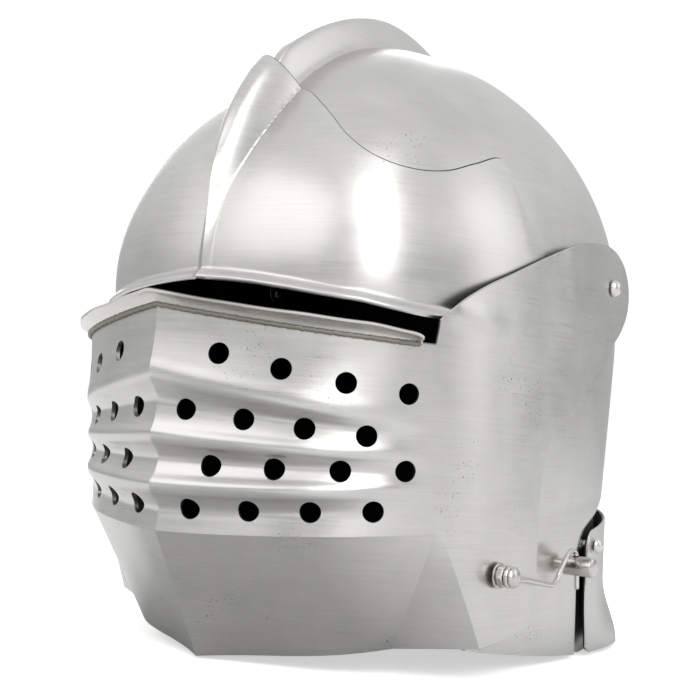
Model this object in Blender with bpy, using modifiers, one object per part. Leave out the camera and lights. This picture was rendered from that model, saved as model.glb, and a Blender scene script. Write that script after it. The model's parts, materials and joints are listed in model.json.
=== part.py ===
"""Knight helmet with a pivoting bellows visor, a swinging nape lame and a wire latch.

The shapes are laid out in a head frame in millimetres: X to the wearer's left, Y to the back,
Z up, with the origin on the visor's pivot axis.  seat() then leans that frame forward by
HEAD_LEAN and lifts it, so that the helmet stands on its chin and neck rims at Z = 0.
"""
import math

import bmesh
import bpy
import numpy as np
from mathutils import Matrix, Vector

# ---------------------------------------------------------------- driving dimensions, mm
MM = 0.001
HEAD_LEAN = math.radians(7.0)     # the rim plane against the head's own level
PIVOT_HEIGHT = 163.7              # visor pivot above the ground
PIVOT_SHIFT = 36.0                # visor pivot behind the middle of the footprint
SHEET = 1.6                       # plate thickness
FIT_GAP = 0.35                    # gap between pieces that touch

SKULL_HALF_WIDTH = 97.0
SKULL_CENTRE_Y = -31.5
SKULL_CENTRE_Z = -1.0
SKULL_FRONT = 124.5
SKULL_BACK = 134.0
SKULL_RISE = 112.0
FRONT_POWER = 2.74                # plan superellipse, front half
BACK_POWER = 2.13                 # plan superellipse, back half
RISE_POWER = 1.86                 # height superellipse

BROW_SHEET = 1.2
BROW_OUT = 0.9 + BROW_SHEET       # brow plate's outer face above the skull
PIVOT_HOLE = 2.9
PIVOT_SHANK = 2.5
RIVET_HEAD = 3.9
VENT_RADIUS = 4.0
NAPE_PIVOT = (1.0, -116.0)        # Y, Z of the nape lame's rivets
BOLT_AT = (-98.5, -112.2)         # Y, Z of the latch bolt
STUD_AT = (-35.0, -118.4)         # Y, Z of the latch stud
STUD_RADIUS = 4.2
STUD_END = 109.0                  # X of the stud's flat end
HOOK_HOLE_X = 100.7               # where the hook drops through the stud
WIRE_RADIUS = 1.05
WIRE_HOLE = 1.7                   # radius of the stud's cross hole
PIN_DRILL = 2.4                   # radius of the holes for the nape lame's rivets
STUD_DRILL = 2.6
BOLT_DRILL = 2.35
COMB_RISE = 14.25                 # comb's crest above the dome
COMB_FOOT = 8.5                   # half width of the comb at its fillet
NECK_ROW = -184.0                 # lowest row of the skull, trimmed at the ground
NECK_STEP = 3.4                   # how far the neck is set inwards under the nape lame
NAPE_GAP = 0.6                    # nape lame's inner face above the skull's own line
NAPE_TOP = -109.0                 # Z of the lame's upper edge
LAME_FOOT = -163.6                # Z of the lame's lower edge where Y is 0
GROUND_SLOPE = 0.1228             # the ground's fall in the head frame, per mm of Y
NAPE_FLARE = 7.0                  # how far the lame's lower edge turns out
BROW_FLARE = 3.2                  # how far the brow rim turns out over the eyes
FLANGE_SHEET = 1.4
LINING = 8.0                      # thickness of the quilted cap
HEADBAND = 2.6
SMOOTH_BELOW = math.radians(35.0)
SIDES = [(1, "left"), (-1, "right")]

COLOURS = {
    "steel": ((0.56, 0.57, 0.58), 0.32, 1.0),
    "bright": ((0.66, 0.67, 0.68), 0.25, 1.0),
    "leather": ((0.23, 0.12, 0.06), 0.6, 0.0),
    "linen": ((0.55, 0.48, 0.37), 0.9, 0.0),
}

# ---------------------------------------------------------------- outlines, mm
# Cusped upper edge of the brow plate on the skull, front then back: X, Y, Z.
BROW_EDGE = [(0, -113.5, 82.5), (16, -113.5, 80.0), (28.3, -120.1, 72.8), (35.6, -123.3, 67.3),
             (46.9, -127.0, 57.5), (58.6, -126.1, 49.4), (66.9, -120.9, 45.4),
             (73.6, -113.3, 43.6), (78.3, -104.1, 44.0), (82.5, -88.8, 47.8),
             (84.9, -69.5, 51.2)]
BROW_BACK = [(84.9, -69.5, 51.2), (87.6, -67.5, 44), (91.0, -66.0, 35), (94.2, -61.5, 25),
             (96.4, -57, 15), (97.6, -54, 4), (97.9, -54, -8)]
# Plan of the visor from its keel to behind the pivot: X, Y.
VISOR_PLAN = [(0, -184), (12.1, -181.3), (34, -173), (53.4, -163), (68, -152.8), (80, -141.5),
              (88, -129.5), (94, -114), (98, -92), (100.8, -65), (102.2, -42), (101.7, -20),
              (100.9, 0), (99.9, 20)]
# Rows of the bellows: height at the keel, drop per mm of width, how far the row stands out.
SEAM_ROW = (-7.5, -0.17, 0.0)
BELLOWS_ROWS = [SEAM_ROW, (-20.0, -0.19, 1.6), (-31.5, -0.20, 4.2), (-34.3, -0.20, 4.4),
                (-42.0, -0.16, 0.3), (-50.0, -0.10, 1.6), (-55.5, -0.082, 3.9),
                (-57.6, -0.078, 3.9), (-64.5, -0.05, -0.2), (-70.5, -0.03, 1.8),
                (-74.5, -0.012, 4.6), (-76.6, -0.01, 4.5), (-83.8, 0.0, -0.2),
                (-92.3, 0.0, 1.6)]
BELLOWS_FADE = (46.0, 106.0)      # arc from the keel over which the folds die away
SLIT_CORNER_ARC = 101.0           # where the sight ends and the arm begins
DART_ARC = 108.5                  # where the chin dart starts
# Upper edge of the visor's arm, from the slit corner to the top of the ear: Y, Z.
ARM_TOP = [(-137, -20.5), (-131, -14.0), (-120.7, -8.5), (-108.4, -2.6), (-85, 5.0),
           (-59.5, 12.4), (-44.3, 16.3), (-31, 18.9), (-18.3, 19.4)]
# Rear edge of the visor, from the top of the ear down to the lower corner: Y, Z.
EAR_EDGE = [(-18.3, 19.4), (-5.5, 18.6), (6.0, 15.2), (14.5, 9.5), (18.9, 2.5), (19.8, -4.5),
            (17.4, -12.0), (10.8, -18.9), (1.5, -25.0), (-11.5, -33.8), (-29.5, -43.0),
            (-46.7, -53.6), (-60.5, -63.0), (-66.0, -73.5), (-69.0, -90.0), (-70.5, -106.0),
            (-72.0, -120.0), (-76.0, -135.5)]
CHIN_BULGE = 7.0
CHIN_KEEL = (0.0, -163.3, -144.6)
DART_VALLEY = (65.6, -123.5, -140.3)
DART_RIDGE = (95.4, -108.4, -139.2)
VISOR_LOW_CORNER = (-76.0, -135.5)

# Lower rim of the brow plate and its cusped upper edge: X, Z on the skull.
BROW_RIM = [(0, 3.4), (13, 2.5), (25, 1.2), (39, -1.0), (63, -5.6), (74, -9.3), (83, -12.3),
            (90, -14.0), (95, -14.0)]
# Side view outline of what is cut from the skull's front: Y, Z.
FACE_CUT = [(-260, 9), (-158, 9), (-140, 3), (-118, -7), (-103, -14), (-97, -30), (-96, -60),
            (-99, -110), (-101, -143.0), (-93.5, -145.2), (-69, -151.0), (-40, -157.4),
            (-21, -161.2), (-3.5, -164.2), (-3.5, -230), (-260, -230)]
# Vents: arc of the first hole, pitch along the plan, height at the keel, drop per mm.
VENT_ROWS = [(26.0, 23.4, -19.0, -0.26), (12.5, 22.6, -44.5, -0.155),
             (22.3, 24.2, -66.4, -0.03), (13.7, 23.0, -83.4, 0.0)]


# ---------------------------------------------------------------- small helpers
def spline(points, at):
    """Smooth curve through 2D or 3D points, read at 0..1 of its chord length."""
    pts = np.array(points, float)
    chord = np.r_[0.0, np.cumsum(np.linalg.norm(np.diff(pts, axis=0), axis=1))]
    slope = np.gradient(pts, chord, axis=0)
    at = np.clip(np.asarray(at, float), 0.0, 1.0) * chord[-1]
    i = np.clip(np.searchsorted(chord, at, side="right") - 1, 0, len(chord) - 2)
    step = chord[i + 1] - chord[i]
    t = (at - chord[i]) / step
    t, step = t[..., None], step[..., None]
    return ((2 * t**3 - 3 * t**2 + 1) * pts[i] + (t**3 - 2 * t**2 + t) * step * slope[i]
            + (3 * t**2 - 2 * t**3) * pts[i + 1] + (t**3 - t**2) * step * slope[i + 1])


def smooth(low, high, value):
    """0 below low, 1 above high, eased between."""
    t = np.clip((np.asarray(value, float) - low) / (high - low), 0.0, 1.0)
    return t * t * (3 - 2 * t)


def seat_matrix():
    """Head frame in millimetres to the world in metres."""
    lean = Matrix.Rotation(HEAD_LEAN, 4, "X")
    lift = Matrix.Translation((0, PIVOT_SHIFT * MM, PIVOT_HEIGHT * MM))
    return lift @ lean @ Matrix.Scale(MM, 4)


def seat(points):
    """Move an array of head-frame points to the world."""
    m = np.array(seat_matrix())
    return np.asarray(points, float) @ m[:3, :3].T + m[:3, 3]


def clear_scene():
    """Remove everything the scene starts with."""
    for item in list(bpy.data.objects):
        bpy.data.objects.remove(item, do_unlink=True)


def collection(name):
    """A new collection in the scene."""
    made = bpy.data.collections.new(name)
    bpy.context.scene.collection.children.link(made)
    return made


def finish(name, kind):
    """The material of one node, made for it."""
    colour, rough, metal = COLOURS[kind]
    material = bpy.data.materials.new(name + "_" + kind)
    material.use_nodes = True
    shader = material.node_tree.nodes["Principled BSDF"]
    shader.inputs["Base Color"].default_value = (*colour, 1.0)
    shader.inputs["Roughness"].default_value = rough
    shader.inputs["Metallic"].default_value = metal
    return material


def hang(item, parent):
    """Parent an object and keep its place in the world."""
    bpy.context.view_layer.update()
    world = item.matrix_world.copy()
    item.parent = parent
    item.matrix_parent_inverse = parent.matrix_world.inverted()
    item.matrix_world = world


def add_object(name, mesh, kind, parent=None, group=None):
    """Link a mesh as one named part; a moving piece keeps its place under its hinge."""
    item = bpy.data.objects.new(name, mesh)
    (group or PARTS).objects.link(item)
    if kind:
        mesh.materials.append(finish(name, kind))
    if parent is not None:
        hang(item, parent)
    return item


def hinge_empty(name, y, z, parent=None):
    """An empty on a joint's axis."""
    empty = bpy.data.objects.new(name, None)
    PARTS.objects.link(empty)
    empty.location = Vector(seat([[0.0, y, z]])[0])
    empty.hide_render = True
    if parent is not None:
        hang(empty, parent)
    bpy.context.view_layer.update()
    return empty


def mesh_from(name, vertices, faces):
    """A welded mesh with its normals outwards and its hard edges sharp."""
    mesh = bpy.data.meshes.new(name)
    mesh.from_pydata([tuple(v) for v in vertices], [], faces)
    bm = bmesh.new()
    bm.from_mesh(mesh)
    bmesh.ops.remove_doubles(bm, verts=bm.verts, dist=1e-6)
    bmesh.ops.recalc_face_normals(bm, faces=bm.faces)
    bm.to_mesh(mesh)
    bm.free()
    mesh.shade_smooth()
    mesh.set_sharp_from_angle(angle=SMOOTH_BELOW)
    return mesh


def grid_faces(rows, cols, wrap=False):
    """Quads of a grid of points, row by row."""
    faces = []
    span = cols if wrap else cols - 1
    for r in range(rows - 1):
        for c in range(span):
            d = (c + 1) % cols
            faces.append((r * cols + c, r * cols + d, (r + 1) * cols + d, (r + 1) * cols + c))
    return faces


def sheet_mesh(name, grid, wrap=False, cap=None):
    """Open surface through a grid of head-frame points, with an optional pole point."""
    rows, cols = grid.shape[:2]
    vertices = list(seat(grid.reshape(-1, 3)))
    faces = grid_faces(rows, cols, wrap)
    if cap is not None:
        vertices.append(seat([cap])[0])
        last = (rows - 1) * cols
        faces += [(last + c, last + (c + 1) % cols, rows * cols) for c in range(cols)]
    return mesh_from(name, vertices, faces)


def point_normals(item, outwards_from):
    """Turn an open sheet's faces away from a head-frame point."""
    centre = Vector(seat([outwards_from])[0])
    mesh = item.data
    vote = sum((p.center - centre).dot(p.normal) * p.area for p in mesh.polygons)
    if vote < 0:
        mesh.flip_normals()


def thicken(item, thickness):
    """Solidify a sheet inwards from its outer face."""
    wall = item.modifiers.new("wall", "SOLIDIFY")
    wall.thickness = thickness * MM
    wall.offset = -1.0
    wall.use_even_offset = False
    return wall


def cut(item, cutter):
    """Take a cutter away from a part."""
    made = item.modifiers.new("cut_" + cutter.name, "BOOLEAN")
    made.operation = "DIFFERENCE"
    made.object = cutter
    made.solver = "EXACT"
    return made


def as_cutter(item):
    """Show an object as a wire and leave it out of renders."""
    item.hide_render = True
    item.display_type = "WIRE"
    return item


def cylinder(name, kind, radius, x0, x1, y, z, sides=20, group=None, parent=None, bevel=0.0,
             turn=None):
    """A cylinder whose axis is the head's X, from x0 to x1; or turned by a matrix."""
    bm = bmesh.new()
    bmesh.ops.create_cone(bm, cap_ends=True, segments=sides, radius1=radius, radius2=radius,
                          depth=abs(x1 - x0))
    place = Matrix.Translation(((x0 + x1) / 2, y, z)) @ Matrix.Rotation(math.pi / 2, 4, "Y")
    if turn is not None:
        place = turn
    bmesh.ops.transform(bm, matrix=seat_matrix() @ place, verts=bm.verts)
    mesh = bpy.data.meshes.new(name)
    bm.to_mesh(mesh)
    bm.free()
    mesh.shade_smooth()
    mesh.set_sharp_from_angle(angle=SMOOTH_BELOW)
    item = add_object(name, mesh, kind, parent, group)
    if bevel:
        edge = item.modifiers.new("edge", "BEVEL")
        edge.width = bevel * MM
        edge.segments = 2
        edge.limit_method = "ANGLE"
    return item


def prism(name, outline, half_width, group):
    """A cutter: a Y, Z outline extruded across X."""
    count = len(outline)
    left = [(-half_width, y, z) for y, z in outline]
    right = [(half_width, y, z) for y, z in outline]
    faces = [tuple(range(count)), tuple(range(2 * count - 1, count - 1, -1))]
    faces += [(i, (i + 1) % count, count + (i + 1) % count, count + i) for i in range(count)]
    return as_cutter(add_object(name, mesh_from(name, seat(left + right), faces), None,
                                group=group))


def lathe(name, kind, profile, y, z, side, parent=None, steps=20):
    """A turned piece on the head's X axis: profile of (radius, x) from end to end."""
    mesh = bpy.data.meshes.new(name)
    mesh.from_pydata([(r * MM, 0.0, h * MM) for r, h in profile],
                     [(i, i + 1) for i in range(len(profile) - 1)], [])
    item = add_object(name, mesh, kind)
    item.matrix_world = (Matrix.Translation(Vector(seat([[0.0, y, z]])[0]))
                         @ Matrix.Rotation(HEAD_LEAN, 4, "X")
                         @ Matrix.Rotation(side * math.pi / 2, 4, "Y"))
    screw = item.modifiers.new("turn", "SCREW")
    screw.steps = steps
    screw.render_steps = steps
    screw.use_merge_vertices = True
    screw.merge_threshold = 0.00001
    screw.use_smooth_shade = True
    if parent is not None:
        hang(item, parent)
    return item


def ring(name, kind, inner, outer, x0, x1, y, z, side, parent=None, steps=20):
    """A flat washer on the head's X axis."""
    loop = [(outer, x1), (outer, x0), (inner, x0), (inner, x1), (outer, x1)]
    return lathe(name, kind, loop, y, z, side, parent, steps)


# ---------------------------------------------------------------- the skull's surface
def skull_width(z):
    """Half width of the skull at a height below its equator."""
    return np.interp(-np.asarray(z, float), [1.1, 30, 60, 95, 175],
                     [SKULL_HALF_WIDTH, 96.8, 95.3, 93.2, 91.2])


def skull_back(z):
    """How far the back stands behind the centre, at a height below the equator."""
    return np.interp(-np.asarray(z, float), [1.1, 25, 60, 95, 175],
                     [SKULL_BACK, 136.0, 129.0, 122.0, 118.0])


def skull_surface(angle, z, out=0.0):
    """Outer face of the skull below the equator: angle 0 is the front, 90 the left ear."""
    s, c = np.sin(angle), np.cos(angle)
    power = np.where(c > 0, FRONT_POWER, BACK_POWER)
    reach = np.where(c > 0, SKULL_FRONT, skull_back(z)) + out
    x = (skull_width(z) + out) * np.sign(s) * np.abs(s) ** (2 / power)
    y = SKULL_CENTRE_Y - reach * np.sign(c) * np.abs(c) ** (2 / power)
    return np.stack([x, y, z + 0 * x], -1)


def dome_surface(angle, rise, out=0.0):
    """Outer face above the equator: rise 0 is the equator, 1 the crown."""
    s, c = np.sin(angle), np.cos(angle)
    power = np.where(c > 0, FRONT_POWER, BACK_POWER)
    reach = np.where(c > 0, SKULL_FRONT, SKULL_BACK) + out
    shrink = np.cos(rise * math.pi / 2) ** (2 / RISE_POWER)
    x = (SKULL_HALF_WIDTH + out) * np.sign(s) * np.abs(s) ** (2 / power) * shrink
    y = SKULL_CENTRE_Y - reach * np.sign(c) * np.abs(c) ** (2 / power) * shrink
    z = SKULL_CENTRE_Z + (SKULL_RISE + out) * np.sin(rise * math.pi / 2) ** (2 / RISE_POWER)
    return np.stack([x, y, z + 0 * x], -1)


def comb_height(y):
    """How far the comb stands above the dome along the crown."""
    return COMB_RISE * smooth(-135, -100, y) * (1 - smooth(-40, 66, y)) ** 0.8


def comb_section(x):
    """The comb's cross-section: 1 on the crest, 0 at its fillet."""
    return (1 - smooth(1.6, COMB_FOOT, np.abs(x))) ** 1.2


def raise_comb(points):
    """Lift the crown's points into the comb, along the dome's normal at its midline."""
    x, y, z = points[..., 0], points[..., 1], points[..., 2]
    above = z > SKULL_CENTRE_Z + 20
    lift = np.where(above, comb_height(y) * comb_section(x), 0)
    tilt = np.clip((y - SKULL_CENTRE_Y) / SKULL_FRONT, -1, 1) * 0.9
    result = points.copy()
    result[..., 1] += lift * np.sin(tilt)
    result[..., 2] += lift * np.cos(tilt)
    return result


def recess(y, z):
    """0 on the open skull, 1 where it is set inwards under the nape lame."""
    corner_z = -124.0 + math.tan(math.radians(12.5)) * np.maximum(0, y - NAPE_PIVOT[0])
    reach = np.hypot(np.minimum(y - 2.5, 0), np.maximum(z - corner_z, 0))
    return 1 - smooth(16.0, 20.0, reach)


def plan_angles():
    """Angles of the skull's columns, closer together at the front and back midlines."""
    quarter = np.radians([0, 1.6, 4.2, 8.5, 16, 27, 40, 55, 70])
    half = np.r_[quarter, math.pi / 2, (math.pi - quarter)[::-1]]
    return np.r_[half, (2 * math.pi - half[1:-1])[::-1]]


def build_skull():
    """Bowl, comb and neck in one sheet, with the face opening cut out."""
    angle = plan_angles()
    rows = []
    for level in np.linspace(0, 1, 11):
        z = np.full_like(angle, SKULL_CENTRE_Z + (NECK_ROW - SKULL_CENTRE_Z) * (1 - level))
        row = skull_surface(angle, z)
        sunk = skull_surface(angle, z, out=-NECK_STEP)
        share = recess(row[:, 1], row[:, 2])[:, None]
        rows.append(row * (1 - share) + sunk * share)
    for rise in [0.1, 0.2, 0.3, 0.4, 0.5, 0.6, 0.7, 0.78, 0.85, 0.91, 0.96, 0.985]:
        rows.append(raise_comb(dome_surface(angle, rise)))
    crown = raise_comb(dome_surface(np.array([0.0]), 0.9999))[0]
    mesh = sheet_mesh("skull", np.array(rows), wrap=True, cap=crown)
    skull = add_object("skull", mesh, "steel")
    point_normals(skull, (0, SKULL_CENTRE_Y, -40))
    thicken(skull, SHEET)
    cut(skull, prism("face_cut", FACE_CUT, 150, CUTTERS))
    ground = bpy.data.meshes.new("ground_cut")
    bm = bmesh.new()
    bmesh.ops.create_cube(bm, size=1.0)
    bmesh.ops.scale(bm, vec=(0.6, 0.6, 0.1), verts=bm.verts)
    bmesh.ops.translate(bm, vec=(0, 0, -0.05), verts=bm.verts)
    bm.to_mesh(ground)
    bm.free()
    cut(skull, as_cutter(add_object("ground_cut", ground, None, group=CUTTERS)))
    for side, label in SIDES:
        hole = cylinder(label + "_pivot_drill", None, PIVOT_HOLE, side * 80, side * 115, 0, 0,
                        group=CUTTERS)
        cut(skull, as_cutter(hole))
        hole = cylinder(label + "_nape_drill", None, PIN_DRILL, side * 70, side * 110,
                        *NAPE_PIVOT, sides=14, group=CUTTERS)
        cut(skull, as_cutter(hole))
    hole = cylinder("stud_drill", None, STUD_DRILL, 70, 110, *STUD_AT, sides=14, group=CUTTERS)
    cut(skull, as_cutter(hole))
    return skull


# ---------------------------------------------------------------- the brow plate
def plan_angle(x, y):
    """Plan angle of a point on the skull: 0 at the front, 90 degrees at the left ear."""
    power = np.where(y < SKULL_CENTRE_Y, FRONT_POWER, BACK_POWER)
    reach = np.where(y < SKULL_CENTRE_Y, SKULL_FRONT, SKULL_BACK)
    s = (np.abs(x) / SKULL_HALF_WIDTH) ** (power / 2)
    c = (np.abs(y - SKULL_CENTRE_Y) / reach) ** (power / 2) * np.sign(SKULL_CENTRE_Y - y)
    return np.arctan2(s, c)


def on_skull(angle, z, out=0.0):
    """Point of the skull's outer face, at a plan angle and a height above or below."""
    height = (np.asarray(z, float) - SKULL_CENTRE_Z) / SKULL_RISE
    rise = np.arcsin(np.clip(height, 0, 1) ** (RISE_POWER / 2)) * 2 / math.pi
    upper = dome_surface(angle, rise, out)
    lower = skull_surface(angle, np.minimum(z, SKULL_CENTRE_Z), out)
    return np.where((height > 0)[..., None], upper, lower)


def brow_top(angle):
    """Height of the brow plate's cusped upper edge at a plan angle."""
    edge = np.array(BROW_EDGE + BROW_BACK[1:], float)
    around = plan_angle(edge[:, 0], edge[:, 1])
    return np.interp(angle, around, edge[:, 2])


def brow_bottom(angle):
    """Height of the brow plate's lower rim at a plan angle."""
    x = SKULL_HALF_WIDTH * np.abs(np.sin(angle)) ** (2 / FRONT_POWER)
    rim = np.array(BROW_RIM, float)
    return np.interp(x, rim[:, 0], rim[:, 1])


def ridge_lift(x, z):
    """The pinched ridge over the comb's front: (outwards, share) by width and height."""
    width = np.interp(z, [5, 28, 45, 62, 78, 96], [3.0, 3.2, 5.5, 8.5, 11.5, 14.0])
    stand = np.interp(z, [4, 26, 40, 56, 72, 84, 96], [2.0, 3.2, 6.0, 9.5, 13.0, 15.5, 16.0])
    share = 1 - smooth(0.12, 1.0, np.abs(x) / width)
    return stand * share


def build_brow():
    """Cusped reinforcing plate over the skull's front, with its ridge and flared rim."""
    last = plan_angle(97.2, -58.0)
    half = np.r_[0, 0.9, 2.4, 4.6, 8, 13, 20, 29, 39, 49, 58, 66, 73, math.degrees(last)]
    angle = np.radians(np.r_[-half[:0:-1], half])
    low, high = brow_bottom(np.abs(angle)), brow_top(np.abs(angle))
    rows = []
    for share in [0.0, 0.045, 0.09, 0.2, 0.33, 0.46, 0.6, 0.74, 0.87, 1.0]:
        z = low + (high - low) * share
        row = on_skull(angle, z, BROW_OUT)
        flare = BROW_FLARE * (1 - smooth(0.0, 0.09, share)) * (1 - smooth(-120, -104, row[:, 1]))
        normal = (row - (0, SKULL_CENTRE_Y, SKULL_CENTRE_Z)) / (SKULL_HALF_WIDTH, SKULL_FRONT,
                                                                SKULL_RISE)
        normal /= np.linalg.norm(normal, axis=1)[:, None]
        lift = ridge_lift(row[:, 0], z) + flare
        rows.append(row + normal * lift[:, None])
    brow = add_object("brow_plate", sheet_mesh("brow_plate", np.array(rows)), "steel")
    point_normals(brow, (0, SKULL_CENTRE_Y, -20))
    thicken(brow, BROW_SHEET)
    return brow


# ---------------------------------------------------------------- the visor's surface
def visor_plan_table():
    """The visor's plan as a dense curve: arc from the keel, X, Y."""
    share = np.linspace(0, 1, 1201)
    plan = spline(VISOR_PLAN, share)
    arc = np.r_[0, np.cumsum(np.linalg.norm(np.diff(plan, axis=0), axis=1))]
    return arc, plan


def visor_plan(arc):
    """X, Y of the visor's plan at an arc length from the keel."""
    table, plan = visor_plan_table()
    return np.stack([np.interp(arc, table, plan[:, 0]), np.interp(arc, table, plan[:, 1])], -1)


def arc_at_y(y):
    """Arc length of the plan at a Y, on the visor's side."""
    table, plan = visor_plan_table()
    return np.interp(y, plan[:, 1], table)


def visor_front_column(arc):
    """Points of one column from the seam to the chin row, and its place on the plan."""
    x, y = visor_plan(arc)
    ahead = visor_plan(arc + 0.5) - visor_plan(max(arc - 0.5, 0.0))
    if arc < 0.6:
        ahead = np.array([1.0, 0.0])
    normal = np.array([ahead[1], -ahead[0]]) / np.hypot(*ahead)
    fade = 1 - smooth(*BELLOWS_FADE, arc)
    points = []
    for height, drop, stand in BELLOWS_ROWS:
        out = stand * fade
        points.append((x + normal[0] * out, y + normal[1] * out, height + drop * x))
    return points


def chin_bottom(share):
    """Lower edge of the chin from the keel to the dart's valley."""
    keel, valley = np.array(CHIN_KEEL), np.array(DART_VALLEY)
    line = keel + (valley - keel) * share
    return line + np.array([0.35, -0.94, 0.0]) * CHIN_BULGE * math.sin(math.pi * share ** 1.8)


def visor_columns():
    """Half of the visor's grid: columns from the keel back to the rear edge."""
    columns = []
    front = [0, 5, 12.5, 22, 33, 45, 57, 69, 80, 91, SLIT_CORNER_ARC, DART_ARC - 1.0]
    chin_rows = [0.33, 0.67, 1.0]
    for arc in front:
        column = visor_front_column(arc)
        top = np.array(column[-1])
        foot = chin_bottom(arc / (DART_ARC - 1.0))
        column += [tuple(top + (foot - top) * share) for share in chin_rows]
        columns.append(column)
    rows = len(columns[0])
    # The side: a patch between the dart's ridge and the rear edge.
    ridge_front = np.array(visor_front_column(DART_ARC + 1.0))
    left = [tuple(point) for point in ridge_front[:, 1:]]
    foot = np.array([DART_RIDGE[1], DART_RIDGE[2]])
    start = np.array(left[-1])
    left += [tuple(start + (foot - start) * share) for share in chin_rows]
    left = np.array(left)
    left[0] = (visor_plan(DART_ARC + 1.0)[1], ARM_TOP[1][1] + 0.4)
    down = np.r_[0, np.cumsum(np.linalg.norm(np.diff(left, axis=0), axis=1))]
    down /= down[-1]
    rear = spline(EAR_EDGE, down ** 0.92)
    along = np.array([0, 0.1, 0.22, 0.36, 0.5, 0.64, 0.77, 0.89, 1.0])
    top_points = spline([tuple(left[0])] + ARM_TOP[2:], along)
    low_points = spline([tuple(foot), (-97.4, -138.6), VISOR_LOW_CORNER], along)
    for i, s in enumerate(along):
        column = []
        for r in range(rows):
            t = down[r]
            edge = (1 - s) * left[r] + s * rear[r]
            bound = (1 - t) * top_points[i] + t * low_points[i]
            corner = ((1 - t) * ((1 - s) * left[0] + s * rear[0])
                      + t * ((1 - s) * left[-1] + s * rear[-1]))
            y, z = edge + bound - corner
            x = visor_plan(arc_at_y(y))[0]
            column.append((x, y, z))
        columns.append(column)
    return np.array(columns)


def build_visor(hinge):
    """Bellows face, arms and ear plates in one sheet, with vents and pivot holes."""
    half = visor_columns()
    other = half[:0:-1] * np.array([-1, 1, 1])
    grid = np.concatenate([other, half]).transpose(1, 0, 2)
    mesh = sheet_mesh("visor", grid)
    visor = add_object("visor", mesh, "steel", parent=hinge)
    point_normals(visor, (0, -60, -60))
    thicken(visor, SHEET)
    for side, label in SIDES:
        hole = cylinder(label + "_ear_drill", None, PIVOT_HOLE, side * 90, side * 115, 0, 0,
                        group=CUTTERS)
        cut(visor, as_cutter(hole))
    hole = cylinder("bolt_drill", None, BOLT_DRILL, 85, 115, *BOLT_AT, sides=14, group=CUTTERS)
    cut(visor, as_cutter(hole))
    for row, (first, pitch, height, drop) in enumerate(VENT_ROWS):
        for k in range(4):
            arc = first + pitch * k
            x, y = visor_plan(arc)
            ahead = visor_plan(arc + 1) - visor_plan(arc - 1)
            facing = Vector((ahead[1], -ahead[0], 0)).normalized()
            for side, label in SIDES:
                direction = Vector((side * facing.x, facing.y, 0))
                place = Matrix.Translation((side * x, y, height + drop * x)) \
                    @ direction.to_track_quat("Z", "Y").to_matrix().to_4x4()
                name = "vent_%s_%d_%d" % (label, row + 1, k + 1)
                drill = cylinder(name, None, VENT_RADIUS, 0, 26, 0, 0, sides=12,
                                 group=CUTTERS, turn=place)
                cut(visor, as_cutter(drill))
    return visor


def build_flange(hinge):
    """The flared strip welded along the visor's upper edge, the sight's lower lip."""
    arcs = np.array([0, 6, 14, 24, 36, 48, 60, 72, 84, 94, 101.5])
    arcs = np.r_[-arcs[:0:-1], arcs]
    profile = [(0.4, 1.9), (1.3, 3.4), (3.1, 5.0), (5.2, 6.2)]
    rows = []
    for out, up in profile:
        row = []
        for arc in arcs:
            a = abs(arc)
            x, y = visor_plan(a)
            ahead = visor_plan(a + 0.5) - visor_plan(max(a - 0.5, 0))
            if a < 0.6:
                ahead = np.array([1.0, 0.0])
            normal = np.array([ahead[1], -ahead[0]]) / np.hypot(*ahead)
            side = -1 if arc < 0 else 1
            trim = 1.0 - 0.35 * smooth(88, 101.5, a)
            row.append((side * (x + normal[0] * out), y + normal[1] * out,
                        SEAM_ROW[0] + SEAM_ROW[1] * x - 1.0 + up * trim + FIT_GAP))
        rows.append(row)
    item = add_object("sight_flange", sheet_mesh("sight_flange", np.array(rows)), "steel",
                      parent=hinge)
    wall = thicken(item, FLANGE_SHEET)
    wall.offset = 0.0
    return item


# ---------------------------------------------------------------- the nape lame
def build_nape(hinge):
    """Neck plate held by one rivet each side, flared at its lower edge."""
    half = np.array([99.5, 101.5, 104.5, 108, 113, 120, 129, 139, 150, 160, 170, 180])
    angle = np.radians(np.r_[half, 360 - half[-2::-1]])
    rows = []
    shares = [0.0, 0.06, 0.14, 0.3, 0.5, 0.68, 0.82, 0.92, 1.0]
    for share in shares:
        y_guess = skull_surface(angle, np.full_like(angle, -130.0))[:, 1]
        inset = np.maximum(0, 7.0 - (y_guess - y_guess[0]))
        rounding = 9.0 * (1 - np.sqrt(np.clip(1 - (inset / 7.5) ** 2, 0, 1)))
        top = NAPE_TOP - rounding
        bottom = LAME_FOOT - GROUND_SLOPE * y_guess + 0.45 * rounding
        z = top + (bottom - top) * share
        flare = NAPE_FLARE * smooth(0.45, 1.0, share) ** 1.2 * (
            0.1 + 0.9 * smooth(2, 45, y_guess - y_guess[0]))
        rows.append(skull_surface(angle, z, out=NAPE_GAP + SHEET + flare))
    item = add_object("nape_lame", sheet_mesh("nape_lame", np.array(rows)), "steel",
                      parent=hinge)
    point_normals(item, (0, 0, -130))
    thicken(item, SHEET)
    for side, label in SIDES:
        hole = cylinder(label + "_lame_drill", None, PIN_DRILL, side * 70, side * 110,
                        *NAPE_PIVOT, sides=14, group=CUTTERS)
        cut(item, as_cutter(hole))
    return item


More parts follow.
